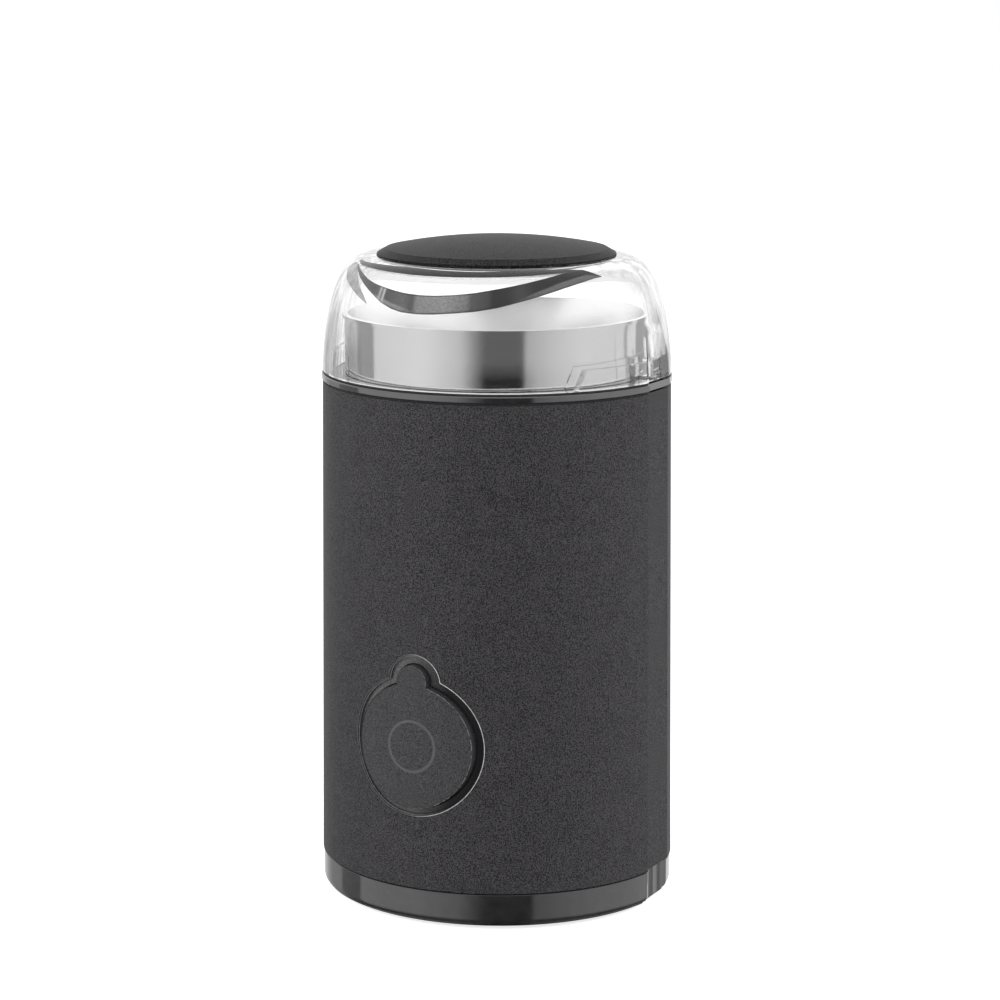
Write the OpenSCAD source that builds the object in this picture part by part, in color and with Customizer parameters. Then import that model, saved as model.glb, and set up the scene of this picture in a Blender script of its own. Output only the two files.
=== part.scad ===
// Electric spice grinder: lift-off clear lid over a steel bowl, with a push
// button on the front of an oval body. Millimetres, +Z up, the front faces -Y
// and the origin is on the table under the middle of the body.

/* [Oval plan] */
// Radius of the front and back arcs at the top of the body
plan_r = 46.35; // [46:0.05:49]
// Distance of each arc's centre from the middle, towards the other side
plan_shift = 2.35; // [1.5:0.05:3]
// Draft of the body's side, in degrees
draft = 0.485; // [0.2:0.005:0.8]
// Depth of the upright flat on each side, in from the arc's radius
flat_depth = 1.35; // [0.9:0.05:1.5]
// Distance of the flat's front edge before the middle
flat_front = 4.5; // [3:0.1:6]

/* [Body shell] */
// Height of the body shell
body_h = 125.1; // [120:0.1:140]
// Wall of the body shell
body_wall = 2.4; // [1.8:0.1:2.8]
// Height of the ledge that carries the bowl carrier
ledge_h = 2; // [1.5:0.1:3]
// How far the ledge stands in from the wall
ledge_w = 1.2; // [1:0.1:1.4]

/* [Base] */
// Height that the feet stand out below the base trim
foot_gap = 0.7; // [0.6:0.1:2]
// Height of the front base trim
trim_h = 9; // [8:0.1:11]
// Bevel round the top edge of the trim
trim_bevel = 0.45; // [0.3:0.05:0.8]
// Wall of the base trim
trim_wall = 3.6; // [3.2:0.1:4]
// Inset of the base trim from the body
trim_inset = 0.2; // [0.1:0.05:0.8]
// Radius of the rounded lower edge of the trim
trim_round = 2.2; // [1.8:0.1:3.2]
// Height by which the rear trim stops short of the front trim
rear_trim_rise = 0.6; // [0.4:0.1:2.4]
// Gap between the front and the rear trim
trim_split = 0.7; // [0.4:0.1:1.2]
// Thickness of the base plate
plate_t = 2.4; // [2:0.1:3]
// Width of the trim's inner flange
flange_w = 11.6; // [11:0.1:12]
// Thickness of the trim's inner flange
flange_t = 2.2; // [1.8:0.1:2.6]
// Radius of a rubber foot
foot_r = 5; // [4:0.1:6]
// Distance of each foot in from the body's outside
foot_inset = 17.35; // [17:0.05:19]
// Width of a cooling slot
vent_w = 2.5; // [2:0.1:3]
// Length of a cooling slot
vent_l = 16; // [10:0.5:18]
// Number of cooling slots
vent_count = 7; // [3:2:9]
// Distance of the base screws in from the body's outside
base_screw_inset = 10.35; // [9.5:0.05:11]
// Radius of the base screws
base_screw_r = 1.5; // [1.2:0.1:1.7]

/* [Collar and bowl] */
// Height of the gloss collar ring
collar_h = 2.7; // [2:0.1:4]
// How far the collar stands out from the body
collar_proud = 0.3; // [0.1:0.05:0.6]
// Height of the dark joints above and below the collar
seam_h = 0.45; // [0.3:0.05:0.6]
// Distance of the grinding bowl in from the body's narrow side
bowl_inset = 6.5; // [6.3:0.1:8]
// Wall of the grinding bowl
bowl_wall = 0.8; // [0.6:0.1:1.2]
// Height of the bowl's rim above the collar
bowl_rise = 15.2; // [12:0.1:18]
// Depth of the bowl, outside
bowl_depth = 46.3; // [42:0.1:48]
// Radius of the bowl's lower corner
bowl_corner = 9; // [6:0.5:12]
// How far the bowl steps out above the collar
bowl_step = 1.7; // [1:0.1:1.8]
// Width of the bowl's turned-out rim
rim_w = 0.5; // [0.3:0.1:0.6]
// Wall of the bowl carrier
carrier_wall = 1.4; // [1.2:0.1:1.5]
// Thickness of the carrier's flange
carrier_flange_t = 3.2; // [2.5:0.1:4]
// Thickness of the carrier's floor
carrier_floor_t = 3; // [2.5:0.1:4]

/* [Lid] */
// Height of the clear lid
lid_h = 29.9; // [28:0.1:34]
// Arc radius where the lid's flat crown starts
lid_crown_r = 31.2; // [30.8:0.1:31.6]
// How far the lid's edge stands out from the top of the body
lid_proud = 0.05; // [-0.1:0.05:0.15]
// First exponent of the lid's curve
lid_p = 1.73; // [1.6:0.01:2]
// Second exponent of the lid's curve
lid_q = 3.28; // [3:0.01:3.6]
// Wall of the lid at its edge
lid_wall = 2.2; // [1.8:0.1:2.6]
// Thickness of the lid's crown under the cap
crown_t = 1.3; // [1.2:0.1:2]
// Radius of the black cap
cap_r = 30.9; // [28:0.1:31]
// Depth of the cap's seat in the lid
cap_seat = 0.6; // [0.4:0.1:1]
// Height of the cap above the lid
cap_rise = 4.6; // [3.5:0.1:6]
// Height of the cap's sloping edge above the lid
cap_edge = 1.7; // [1:0.1:2.2]
// How far the cap's edge slopes in
cap_slope = 2.2; // [1:0.1:3]
// Radius of the pegs that hold the cap
peg_r = 1.5; // [1:0.1:2]
// Distance of the pegs from the middle
peg_ring_r = 20; // [14:0.5:24]
// Height of the grip pads inside the lid
pad_h = 5; // [4:0.1:6]
// Thickness of the grip pads
pad_t = 1.2; // [0.8:0.1:1.3]
// Half width of a grip pad along the foot, front to back
pad_half = 24; // [20:0.5:28]
// How far a pad's end leans in over its height
pad_lean = 2.2; // [1:0.1:4]

/* [Interlock] */
// Width of the lid's tab, front to back
tab_w = 5.2; // [4:0.1:6]
// Depth of the lid's tab below the lid's edge
tab_drop = 2; // [1.5:0.1:2.2]
// Distance of the rod and the lid's tabs behind the middle
rod_y = 4.2; // [3:0.1:6]
// Radius of the interlock rod
rod_r = 1.5; // [1.2:0.05:1.6]
// Distance of the interlock rod in from the body's outside
rod_inset = 5.25; // [5.1:0.05:5.4]
// Length of the interlock rod
rod_l = 92; // [88:0.5:94]
// Rise of the rod when the lid is off
rod_travel = 1.8; // [1.2:0.1:1.9]

/* [Button] */
// Height of the button's middle above the foot of the body shell
button_up = 37.4; // [36:0.1:44]
// Radius of the button
button_r = 16.1; // [15:0.1:16.5]
// Radius of the button's nub
nub_r = 4.3; // [3.6:0.1:4.6]
// Height of the nub's centre above the button's middle
nub_up = 16.6; // [15:0.1:17]
// How far the button stands proud of the body
button_proud = 1.3; // [0.8:0.1:1.6]
// Thickness of the button's face
button_face = 2.2; // [1.6:0.1:3]
// Travel of the button
button_travel = 2.8; // [2:0.1:2.8]
// Radius of the opening round the button
well_r = 18.4; // [18:0.1:19]
// Radius of the opening round the nub
well_nub_r = 7.4; // [6.6:0.1:7.6]
// Height of the opening's nub above the button's middle
well_nub_up = 16.1; // [15:0.1:17]
// Thickness of the gloss tray behind the opening
tray_t = 1.5; // [1.2:0.1:1.8]
// Depth of the tray's floor below the body's outside
tray_sink = 0.8; // [0.6:0.1:1.6]
// Width of the fine lip that rims the tray's floor
lip_w = 0.35; // [0.3:0.05:0.6]
// Depth of the lip below the body's outside
lip_sink = 0.15; // [0.1:0.05:0.3]
// Width by which the tray reaches past the opening
tray_lap = 2.6; // [2:0.1:3]
// Thickness of the flange that keeps the button in
button_flange_t = 1.5; // [1.2:0.1:1.8]

/* [Motor] */
// Radius of the motor shaft
shaft_r = 3; // [2.5:0.1:3.2]
// Distance of the stator's side in from the body's side
stator_side = 15.35; // [15:0.05:16.5]
// Distance of the stator's front in from the widest plan
stator_front = 19.35; // [18.5:0.05:20]
// Height of the shaft's lower end above the foot of the body shell
shaft_up = 5.3; // [5:0.1:7]
// Depth of a pole, from the stator's outside to its bore
pole_depth = 9.8; // [9.6:0.1:11]
// Air gap between the armature and the stator
air_gap = 0.6; // [0.4:0.1:1]
// Number of slots in the armature
armature_slots = 12; // [8:1:16]
// Radius of the commutator
commutator_r = 9; // [8:0.1:9.5]
// Radius of the cooling fan
fan_r = 22; // [18:0.5:23]
// Number of fan blades
fan_blades = 9; // [6:1:12]
// Length of the blade from tip to tip
blade_l = 62; // [50:1:66]
// Width of the blade
blade_w = 12; // [9:0.5:14]
// Thickness of the blade
blade_t = 1.3; // [1:0.1:1.8]

/* [Cord inlet] */
// Radius of the cord hole in the gland
gland_bore_r = 3.3; // [2.8:0.1:3.6]
// Height of the gland above the foot of the body shell
gland_up = 10.3; // [9:0.1:14]

/* [Clearances] */
// Gap round pieces that drop into a seat
seat_gap = 0.15; // [0.05:0.05:0.3]
// Gap between the lid and the collar
lid_gap = 0.15; // [0.1:0.05:0.3]
// Radial gap of the running fits
run_gap = 0.05; // [0.02:0.01:0.1]
// Gap round pieces that slide
slide_gap = 0.3; // [0.2:0.05:0.4]

/* [Hidden] */
$fn = 96;
eps = 0.01;

z_trim = foot_gap;
z_body = z_trim + trim_h;
z_collar = z_body + body_h;
z_lid = z_collar + collar_h;
z_button = z_body + button_up;
z_gland = z_body + gland_up;

// Base
z_plate = z_trim + 1;
z_flange = z_plate + plate_t;
z_flange_top = z_flange + flange_t;
plate_inset = trim_inset + trim_wall + seat_gap;
rear_plate_inset = plate_inset + 4;
front_trim_end = -flat_front;
flute_r = 22;
flute_depth = 0.9;
flute_y = 2.5;
trim_line_a = 50;
trim_line_depth = 0.3;
foot_ring_r = plan_r - foot_inset;
base_screw_ring_r = plan_r - base_screw_inset;
foot_peg_r = 2;
foot_head_r = 3;
foot_head_t = 1.2;
screw_head_r = 2 * base_screw_r;
screw_head_t = 1.8;
boss_r = 3.6;
boss_h = 11;
boss_pilot_r = base_screw_r;
boss_rib_w = 2.2;
base_screw_l = 13;

// Bowl and its carrier
bowl_r = plan_r - plan_shift - bowl_inset;
z_rim = z_lid + bowl_rise;
z_bowl = z_rim - bowl_depth;
band_r = bowl_r + bowl_step;
z_step = z_lid + seat_gap;
bowl_hole_r = 6;
carrier_in_r = bowl_r + slide_gap;
carrier_out_r = carrier_in_r + carrier_wall;
z_carrier_flange = z_collar - carrier_flange_t;
z_carrier = z_bowl - carrier_floor_t;
carrier_inset = body_wall + seat_gap;
collar_chamfer = 0.25;
collar_seam = 0.6;
slot_gap = 0.45;
tab_in = 0.35;
slot_w = tab_w + 2 * slot_gap;
rod_x = plan_r - rod_inset;
slot_x0 = rod_x - rod_r - 0.15;
slot_x1 = rod_x + rod_r + 0.35;

// Motor stack: its lower end stands at a height, its upper end hangs from the
// carrier, and the laminated stack fills the space between
bearing_h = 8;
bearing_out_r = 6.5;
housing_r = 8.5;
bracket_t = 2.5;
commutator_h = 9;
coil_over = 5;
winding_over = 5.5;
fan_h = 3.4;
fan_hub_r = 6.5;
z_high_bearing = z_carrier - 13.5;
z_high_plate = z_high_bearing + 1;
z_fan = z_high_bearing - 2.2 - fan_h;
z_stator_top = z_fan - 1.3 - coil_over;
z_shaft = z_body + shaft_up;
z_low_bearing = z_shaft + 2;
z_low_plate = z_low_bearing + 3;
z_commutator = z_low_bearing + bearing_h + 6;
z_brush = z_commutator + commutator_h / 2;
z_stator = z_commutator + commutator_h + 2.5 + winding_over;
stator_h = z_stator_top - z_stator;
stator_w = 2 * (plan_r - stator_side);
stator_d = 2 * (plan_r - stator_front);
stator_bore_r = stator_d / 2 - pole_depth;
leg_t = 3;
leg_w = 16;
leg_out_x = stator_w / 2 - 0.5;
leg_in_x = leg_out_x - leg_t;
ear_w = 7;
coil_half_w = 13.5;
pole_half_w = 8;
shoe_t = 2.8;
shoe_r = stator_bore_r + shoe_t;
window_half_x = stator_w / 2 - 10;
window_half_y = stator_d / 2 - 3.6;
coil_y0 = shoe_r + 0.2;
coil_y1 = window_half_y - 0.2;
armature_r = stator_bore_r - air_gap;
slot_ring_r = armature_r - 3.6;
slot_r = 0.558 * PI * slot_ring_r / armature_slots;
winding_r = slot_ring_r;
brush_spring_l = 6.7;
brush_wall = 0.8;
brush_w = 5;
brush_h = 6;
brush_end_x = leg_in_x - brush_wall - brush_spring_l;
mount_x = stator_w / 2 - 5;
mount_y = 12;
mount_r = 4;
rubber_h = 4.5;
mount_boss_h = z_carrier - (z_high_plate + bracket_t + rubber_h);
mount_screw_r = 1.5;
bolt_r = 1.6;
bolt_head_r = 2.6;
bolt_nut_r = 2.9;
bolt_x = leg_in_x - bolt_nut_r - 0.3;
bolt_y = 5;
nut_t = 2;

// Blade stack above the bowl's floor
z_bowl_in = z_bowl + bowl_wall;
seal_r = 9;
seal_t = 1.5;
z_hub = z_bowl_in + seal_t + 0.4;
hub_r = 6;
hub_h = 4.6;
z_blade = z_hub + hub_h;
z_nut = z_blade + blade_t;
blade_nut_h = 4;
z_shaft_top = z_nut + blade_nut_h + 0.8;

// Button and switch
tray_gap = 0.1;
tray_front = body_wall + tray_gap;
tray_back = tray_front + tray_t;
flange_grow = 1.5;
y_flange = -(plan_r_at(z_button) - tray_back - plan_shift) + 4.2;
y_flange_back = y_flange + button_flange_t;
stem_x = 6;
tip_r = 1.5;
stem_rib = 2.4;
stem_l = 1.4 - slide_gap + 0.05;
y_tip = y_flange_back + stem_l;
z_switch = z_button - 14;
switch_w = 20;
switch_t = 6.4;
switch_d = 10.3;
z_stem = z_switch + switch_t / 2;
lever_pivot_x = -9;
lever_rest = 12.5;
lever_turn = 10;
lever_t = 0.4;
lever_l = 18.2;
lever_pin_r = 0.5;
y_lever = y_tip + 3.95;
lever_barrel_r = 0.9;
y_switch = y_lever + lever_barrel_r + 0.3;
plunger_x = -3;
plunger_r = 1;
plunger_l = 3.9;
plunger_travel = 1.1;
y_spring_wall = y_switch - 1.4;
spring_wall_t = 1.6;
button_spring_r = 5.4;
z_button_spring = z_button + 3;

// Interlock
z_rod_top = z_lid + lid_gap - tab_drop - slide_gap;
z_rod = z_rod_top - rod_l;
safety_w = 13;
safety_t = 4;
safety_h = 6.5;
z_safety = z_rod - safety_h - 1.6;
rod_collar_r = 2.1;
z_rod_collar = z_rod + 16;
z_guide = z_rod + 3;
guide_t = 2;

// Arc radius of the body's outside at a height
function plan_r_at(z) = plan_r + (z_collar - z) * tan(draft);

// Outside and inside arc radius of the lid at a height above its edge
lid_swell = plan_r + lid_proud - lid_crown_r;
function lid_r(h) = lid_crown_r + lid_swell * pow(1 - pow(h / lid_h, lid_p), 1 / lid_q);
function lid_in_r(h) = lid_crown_r
    + (lid_swell - lid_wall) * pow(1 - pow(h / lid_in_h, lid_p), 1 / lid_q);
lid_in_h = lid_h - cap_seat - crown_t;
z_cap_seat = z_lid + lid_gap + lid_h - cap_seat;
peg_l = crown_t - 0.6;

// Heights that crowd towards the crown, where the lid's curve is tightest
function lid_steps(h, n) = [for (i = [0 : n]) h * sin(90 * i / n)];

// Oval solid between two heights, inset from the body's outside
module oval_cone(z0, z1, inset = 0) {
    intersection_for (side = [-1, 1])
        translate([0, side * plan_shift, z0])
            cylinder(h = z1 - z0, r1 = plan_r_at(z0) - inset, r2 = plan_r_at(z1) - inset);
}

// Oval solid turned from a profile, whose x is the arc radius
module oval_turned() {
    intersection() {
        translate([0, plan_shift, 0]) rotate_extrude() children();
        translate([0, -plan_shift, 0]) rotate_extrude() children();
    }
}

// Round tube between two heights
module tube(z0, z1, r_in, r_out) {
    translate([0, 0, z0]) difference() {
        cylinder(h = z1 - z0, r = r_out);
        translate([0, 0, -1]) cylinder(h = z1 - z0 + 2, r = r_in);
    }
}

// Outline of the button, its opening and its tray: a disc with a nub on top
module pear(r, small_r, up) {
    circle(r);
    translate([0, up]) circle(small_r);
    translate([-small_r, 0]) square([2 * small_r, up]);
}

// Stretches an outline drawn in the front view from y0 back to y1
module along_y(y0, y1, z = 0) {
    translate([0, y1, z]) rotate([90, 0, 0]) linear_extrude(y1 - y0) children();
}

// Box given by its two corners
module block(low, high) {
    translate(low) cube(high - low);
}

// Copies onto four places, mirrored about both middle planes
module four_ways(x, y) {
    for (sx = [-1, 1], sy = [-1, 1]) translate([sx * x, sy * y, 0]) children();
}

// Round wire wound along +Z
module coil_spring(r, wire_r, h, turns) {
    per_turn = 14;
    sides = 6;
    steps = turns * per_turn;
    rings = [for (i = [0 : steps]) let (a = 360 * i / per_turn, z = wire_r + (h - 2 * wire_r) * i / steps)
        for (k = [0 : sides - 1]) let (b = 360 * k / sides, q = r + wire_r * cos(b))
            [q * cos(a), q * sin(a), z + wire_r * sin(b)]];
    wall = [for (i = [0 : steps - 1], k = [0 : sides - 1]) let (n = (k + 1) % sides)
        [i * sides + k, (i + 1) * sides + k, (i + 1) * sides + n, i * sides + n]];
    ends = [[for (k = [0 : sides - 1]) k], [for (k = [sides - 1 : -1 : 0]) steps * sides + k]];
    polyhedron(points = rings, faces = concat(wall, ends), convexity = 10);
}

// The upright flats, cut to follow the draft. Each runs out towards the back
module side_flats(z0, z1) {
    for (side = [0, 1]) mirror([side, 0, 0])
        translate([plan_r_at(z0) - flat_depth, -flat_front, z0])
            rotate([0, -draft, 0]) translate([0, 0, -1]) cube([10, plan_r / 2, z1 - z0 + 2]);
}

// ---------------------------------------------------------------- lid

module lid_dome() color([0.85, 0.9, 0.92, 0.4]) {
    difference() {
        translate([0, 0, z_lid + lid_gap]) union() {
            difference() {
                oval_turned() polygon(concat([[0, 0]],
                    [for (h = lid_steps(lid_h, 18)) [lid_r(h), h]], [[0, lid_h]]));
                oval_turned() polygon(concat([[0, -1], [lid_in_r(0), -1]],
                    [for (h = lid_steps(lid_in_h, 14)) [lid_in_r(h), h]], [[0, lid_in_h]]));
            }
            lid_pads();
            lid_tabs();
        }
        translate([0, 0, z_cap_seat]) cylinder(h = cap_seat + 1, r = cap_r + seat_gap);
        peg_places() translate([0, 0, z_cap_seat - peg_l - 0.1])
            cylinder(h = lid_h, r = peg_r + seat_gap);
        side_flats(z_lid, z_lid + lid_h);
    }
}

// Pads inside the lid's edge, with leaning ends
module lid_pads() {
    intersection() {
        difference() {
            oval_turned() polygon([[0, 0], [lid_r(0) - 1, 0], [lid_r(pad_h) - 1, pad_h], [0, pad_h]]);
            oval_turned() polygon([[0, -1], [lid_in_r(0) - pad_t, -1], [lid_in_r(0) - pad_t, 0],
                [lid_in_r(pad_h) - pad_t, pad_h], [lid_in_r(pad_h) - pad_t, pad_h + 1], [0, pad_h + 1]]);
        }
        rotate([90, 0, 90]) translate([0, 0, -plan_r]) linear_extrude(2 * plan_r)
            polygon([[-pad_half, 0], [pad_half, 0], [pad_half - pad_lean, pad_h],
                [-pad_half + pad_lean, pad_h]]);
    }
}

// Tabs that drop into the collar's slots; the right one holds the rod down
module lid_tabs() {
    for (side = [0, 1]) mirror([side, 0, 0]) {
        block([slot_x0 + slot_gap + tab_in, rod_y - tab_w / 2, -tab_drop],
            [slot_x1 - slot_gap, rod_y + tab_w / 2, pad_h]);
        block([slot_x0 + slot_gap + tab_in, rod_y - tab_w / 2, 0.8],
            [lid_in_r(0), rod_y + tab_w / 2, pad_h]);
    }
}

module lid_cap() color([0.09, 0.09, 0.1]) {
    z_edge = z_lid + lid_gap + lid_h;
    top_r = cap_r - cap_slope;
    crown = cap_rise - cap_edge;
    // The crown is a cap of this sphere
    sphere_r = (top_r * top_r + crown * crown) / (2 * crown);
    translate([0, 0, z_cap_seat]) cylinder(h = cap_seat + 0.4, r = cap_r);
    translate([0, 0, z_edge + 0.4]) cylinder(h = cap_edge - 0.4, r1 = cap_r, r2 = top_r);
    intersection() {
        translate([0, 0, z_edge + cap_rise - sphere_r]) sphere(sphere_r, $fn = 180);
        translate([0, 0, z_cap_seat + cap_seat / 2]) cylinder(h = cap_seat + cap_rise, r = top_r);
    }
    peg_places() translate([0, 0, z_cap_seat - peg_l]) cylinder(h = peg_l + 0.5, r = peg_r);
}

// The three places where the cap is pegged to the lid
module peg_places() {
    for (a = [90, 210, 330]) rotate(a) translate([peg_ring_r, 0, 0]) children();
}

// ---------------------------------------------------------------- bowl

module collar_ring() color([0.05, 0.05, 0.05]) {
    in_step = collar_proud + collar_seam;
    difference() {
        oval_turned() polygon([[0, z_collar], [plan_r + collar_proud - in_step, z_collar],
            [plan_r + collar_proud - in_step, z_collar + seam_h],
            [plan_r + collar_proud - collar_chamfer, z_collar + seam_h],
            [plan_r + collar_proud, z_collar + seam_h + collar_chamfer],
            [plan_r + collar_proud, z_lid - seam_h - collar_chamfer],
            [plan_r + collar_proud - collar_chamfer, z_lid - seam_h],
            [plan_r + collar_proud - in_step, z_lid - seam_h],
            [plan_r + collar_proud - in_step, z_lid], [0, z_lid]]);
        translate([0, 0, z_collar - 1]) cylinder(h = collar_h + 2, r = carrier_in_r);
        tab_slots(z_collar - 1, z_lid + 1);
        side_flats(z_collar - 1, z_lid + 1);
    }
}

// Slots for the lid's tabs
module tab_slots(z0, z1) {
    for (side = [0, 1]) mirror([side, 0, 0])
        block([slot_x0, rod_y - slot_w / 2, z0], [slot_x1, rod_y + slot_w / 2, z1]);
}

// Half section of a cup with a rounded lower corner
module cup_section(r, z0, z1, corner) {
    translate([0, z0 + corner]) square([r, z1 - z0 - corner]);
    translate([0, z0]) square([r - corner, corner + eps]);
    intersection() {
        translate([r - corner, z0 + corner]) circle(corner);
        translate([0, z0]) square([r, corner + eps]);
    }
}

module grinding_bowl() color([0.75, 0.76, 0.77]) {
    difference() {
        union() {
            rotate_extrude() cup_section(bowl_r, z_bowl, z_step + bowl_wall, bowl_corner);
            translate([0, 0, z_step]) cylinder(h = z_rim - z_step, r = band_r);
            translate([0, 0, z_rim - bowl_wall]) cylinder(h = bowl_wall, r = band_r + rim_w);
        }
        rotate_extrude() cup_section(bowl_r - bowl_wall, z_bowl_in, z_rim + 1, bowl_corner - bowl_wall);
        translate([0, 0, z_step + bowl_wall]) cylinder(h = bowl_rise, r = band_r - bowl_wall);
        translate([0, 0, z_bowl - 1]) cylinder(h = bowl_wall + 2, r = bowl_hole_r);
    }
}

module bowl_seal() color([0.2, 0.2, 0.2]) {
    bore_r = shaft_r + 0.1;
    tube(z_carrier, z_bowl_in, bore_r, bowl_hole_r - seat_gap);
    tube(z_bowl_in, z_bowl_in + seal_t, bore_r, seal_r);
}

module bowl_carrier() color([0.15, 0.15, 0.16]) {
    difference() {
        union() {
            oval_cone(z_carrier_flange, z_collar, carrier_inset);
            translate([0, 0, z_carrier]) cylinder(h = z_collar - z_carrier, r = carrier_out_r);
            four_ways(mount_x, mount_y) translate([0, 0, z_carrier - mount_boss_h])
                cylinder(h = mount_boss_h + 1, r = mount_r);
        }
        translate([0, 0, z_bowl]) cylinder(h = bowl_depth, r = carrier_in_r);
        translate([0, 0, z_carrier - 1]) cylinder(h = carrier_floor_t + 2, r = bowl_hole_r);
        four_ways(mount_x, mount_y) translate([0, 0, z_carrier - mount_boss_h - 1])
            cylinder(h = mount_boss_h + 2, r = mount_screw_r);
        difference() {
            tab_slots(z_collar - carrier_flange_t / 2, z_collar + 1);
            block([-1, -slot_w, z_carrier], [1, slot_w, z_collar]);
        }
        translate([rod_x, rod_y, z_carrier_flange - 1])
            cylinder(h = carrier_flange_t + 2, r = rod_r + 0.1);
    }
}

// ---------------------------------------------------------------- blade

module blade() color([0.8, 0.8, 0.82]) {
    flat = 11;
    difference() {
        translate([-flat, -blade_w / 2, z_blade]) cube([2 * flat, blade_w, blade_t]);
        translate([0, 0, z_blade - 1]) cylinder(h = blade_t + 2, r = shaft_r + run_gap);
    }
    blade_wing(flat, 14);
    mirror([1, 0, 0]) mirror([0, 1, 0]) blade_wing(flat, -7);
}

// One swept wing, bent up by an angle and a little narrower than the middle
module blade_wing(flat, bend) {
    reach = blade_l / 2 - flat;
    half_w = blade_w / 2 - 0.3;
    root = -0.8;
    translate([flat, 0, z_blade + (bend < 0 ? blade_t : 0)]) rotate([0, -bend, 0])
        translate([0, 0, bend < 0 ? -blade_t : 0]) linear_extrude(blade_t)
            polygon([[root, -half_w], [reach - 5, -half_w], [reach, -half_w / 3],
                [reach - 2, half_w / 2], [root, half_w]]);
}

module blade_hub() color([0.1, 0.1, 0.1])
    tube(z_hub, z_blade, shaft_r + run_gap, hub_r);

module blade_nut() color([0.72, 0.6, 0.3]) {
    translate([0, 0, z_nut]) difference() {
        cylinder(h = blade_nut_h, r = hub_r - 0.5, $fn = 6);
        translate([0, 0, -1]) cylinder(h = blade_nut_h + 2, r = shaft_r + run_gap);
    }
}

// ---------------------------------------------------------------- body

module body_shell() color([0.2, 0.2, 0.21]) {
    z_ledge = z_carrier_flange - ledge_h;
    difference() {
        union() {
            difference() {
                oval_cone(z_body, z_collar);
                oval_cone(z_body - 1, z_ledge, body_wall);
                oval_cone(z_ledge - eps, z_carrier_flange, body_wall + ledge_w);
                oval_cone(z_carrier_flange - eps, z_collar + 1, body_wall);
            }
            base_bosses();
        }
        side_flats(z_body, z_collar);
        along_y(-2 * plan_r, -plan_r / 2, z_button) pear(well_r, well_nub_r, well_nub_up);
        // Square hole that keeps the cord gland from turning
        block([-gland_neck - seat_gap, 0, z_gland - gland_neck - seat_gap],
            [gland_neck + seat_gap, 2 * plan_r, z_gland + gland_neck + seat_gap]);
        translate([rod_x, rod_y, z_ledge - 1]) cylinder(h = ledge_h + 2, r = rod_r + slide_gap);
    }
}

// Screw bosses that stand on the base trim's flange, ribbed to the wall
module base_bosses() {
    for (a = [45 : 90 : 315]) rotate(a) difference() {
        union() {
            translate([base_screw_ring_r, 0, z_flange_top]) cylinder(h = boss_top - z_flange_top, r = boss_r);
            block([base_screw_ring_r, -boss_rib_w / 2, z_body], [rib_reach, boss_rib_w / 2, boss_top]);
        }
        translate([base_screw_ring_r, 0, z_flange_top - 1])
            cylinder(h = base_screw_l - plate_t, r = boss_pilot_r);
    }
}
boss_top = z_body + boss_h;
rib_reach = plan_r - body_wall / 2;

// ---------------------------------------------------------------- button

// A slice of the front, between two insets from the body's outside
module front_skin(outer, inner) {
    z0 = z_button - 2 * button_r;
    z1 = z_button + 3 * button_r;
    difference() {
        oval_cone(z0, z1, outer);
        oval_cone(z0 - 1, z1 + 1, inner);
    }
}

// A layer of the tray: grow is how far its outline reaches past the opening
module tray_layer(outer, inner, grow) {
    intersection() {
        front_skin(outer, inner);
        along_y(-2 * plan_r, -plan_r / 2, z_button)
            pear(well_r + grow, well_nub_r + grow, well_nub_up);
    }
}

// Tray round the button: a flange behind the shell, a floor that fills the
// opening and a fine lip at the opening's edge
module button_tray() color([0.04, 0.04, 0.04]) {
    difference() {
        union() {
            tray_layer(tray_front, tray_back, tray_lap);
            difference() {
                tray_layer(lip_sink, tray_front + eps, -seat_gap);
                tray_layer(lip_sink - 1, tray_sink, -seat_gap - lip_w);
            }
        }
        along_y(-2 * plan_r, -plan_r / 2, z_button)
            pear(button_r + slide_gap, nub_r + slide_gap, nub_up);
    }
}

module button() color([0.21, 0.21, 0.22]) {
    difference() {
        intersection() {
            oval_cone(z_button - 2 * button_r, z_button + 3 * button_r, -button_proud);
            along_y(-2 * plan_r, y_flange_back, z_button) pear(button_r, nub_r, nub_up);
        }
        difference() {
            along_y(-2 * plan_r, y_flange_back + 1, z_button) circle(button_r - 1.8);
            front_skin(-button_proud - 5, button_face - button_proud);
        }
    }
    difference() {
        along_y(y_flange, y_flange_back, z_button) pear(button_r + flange_grow, nub_r + flange_grow, nub_up);
        along_y(y_flange - 1, y_flange_back + 1, z_button) circle(button_r - 1.8);
    }
    button_stem();
    // Peg inside the spring
    translate([0, y_face_in - 0.6, z_button_spring]) rotate([-90, 0, 0])
        cylinder(h = 4, r = button_spring_r - 2);
}
y_face_in = -(plan_r_at(z_button) + button_proud - button_face - plan_shift);

// Stem that pushes the switch lever, with a rounded tip
module button_stem() {
    translate([stem_x, y_face_in - 0.6, z_stem]) rotate([-90, 0, 0])
        cylinder(h = y_tip - tip_r - y_face_in + 0.6, r = tip_r);
    translate([stem_x, y_tip - tip_r, z_stem]) sphere(tip_r);
    block([stem_x - 0.7, y_face_in - 0.6, z_stem - stem_rib],
        [stem_x + 0.7, y_flange_back - 1, z_stem + stem_rib]);
}

module button_spring() color([0.7, 0.7, 0.72]) {
    spring_h = y_spring_wall - y_face_in - 0.3;
    translate([0, y_face_in + 0.2, z_button_spring]) rotate([-90, 0, 0])
        coil_spring(button_spring_r - 0.9, 0.45, spring_h, 5);
}

// ---------------------------------------------------------------- switch

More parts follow.
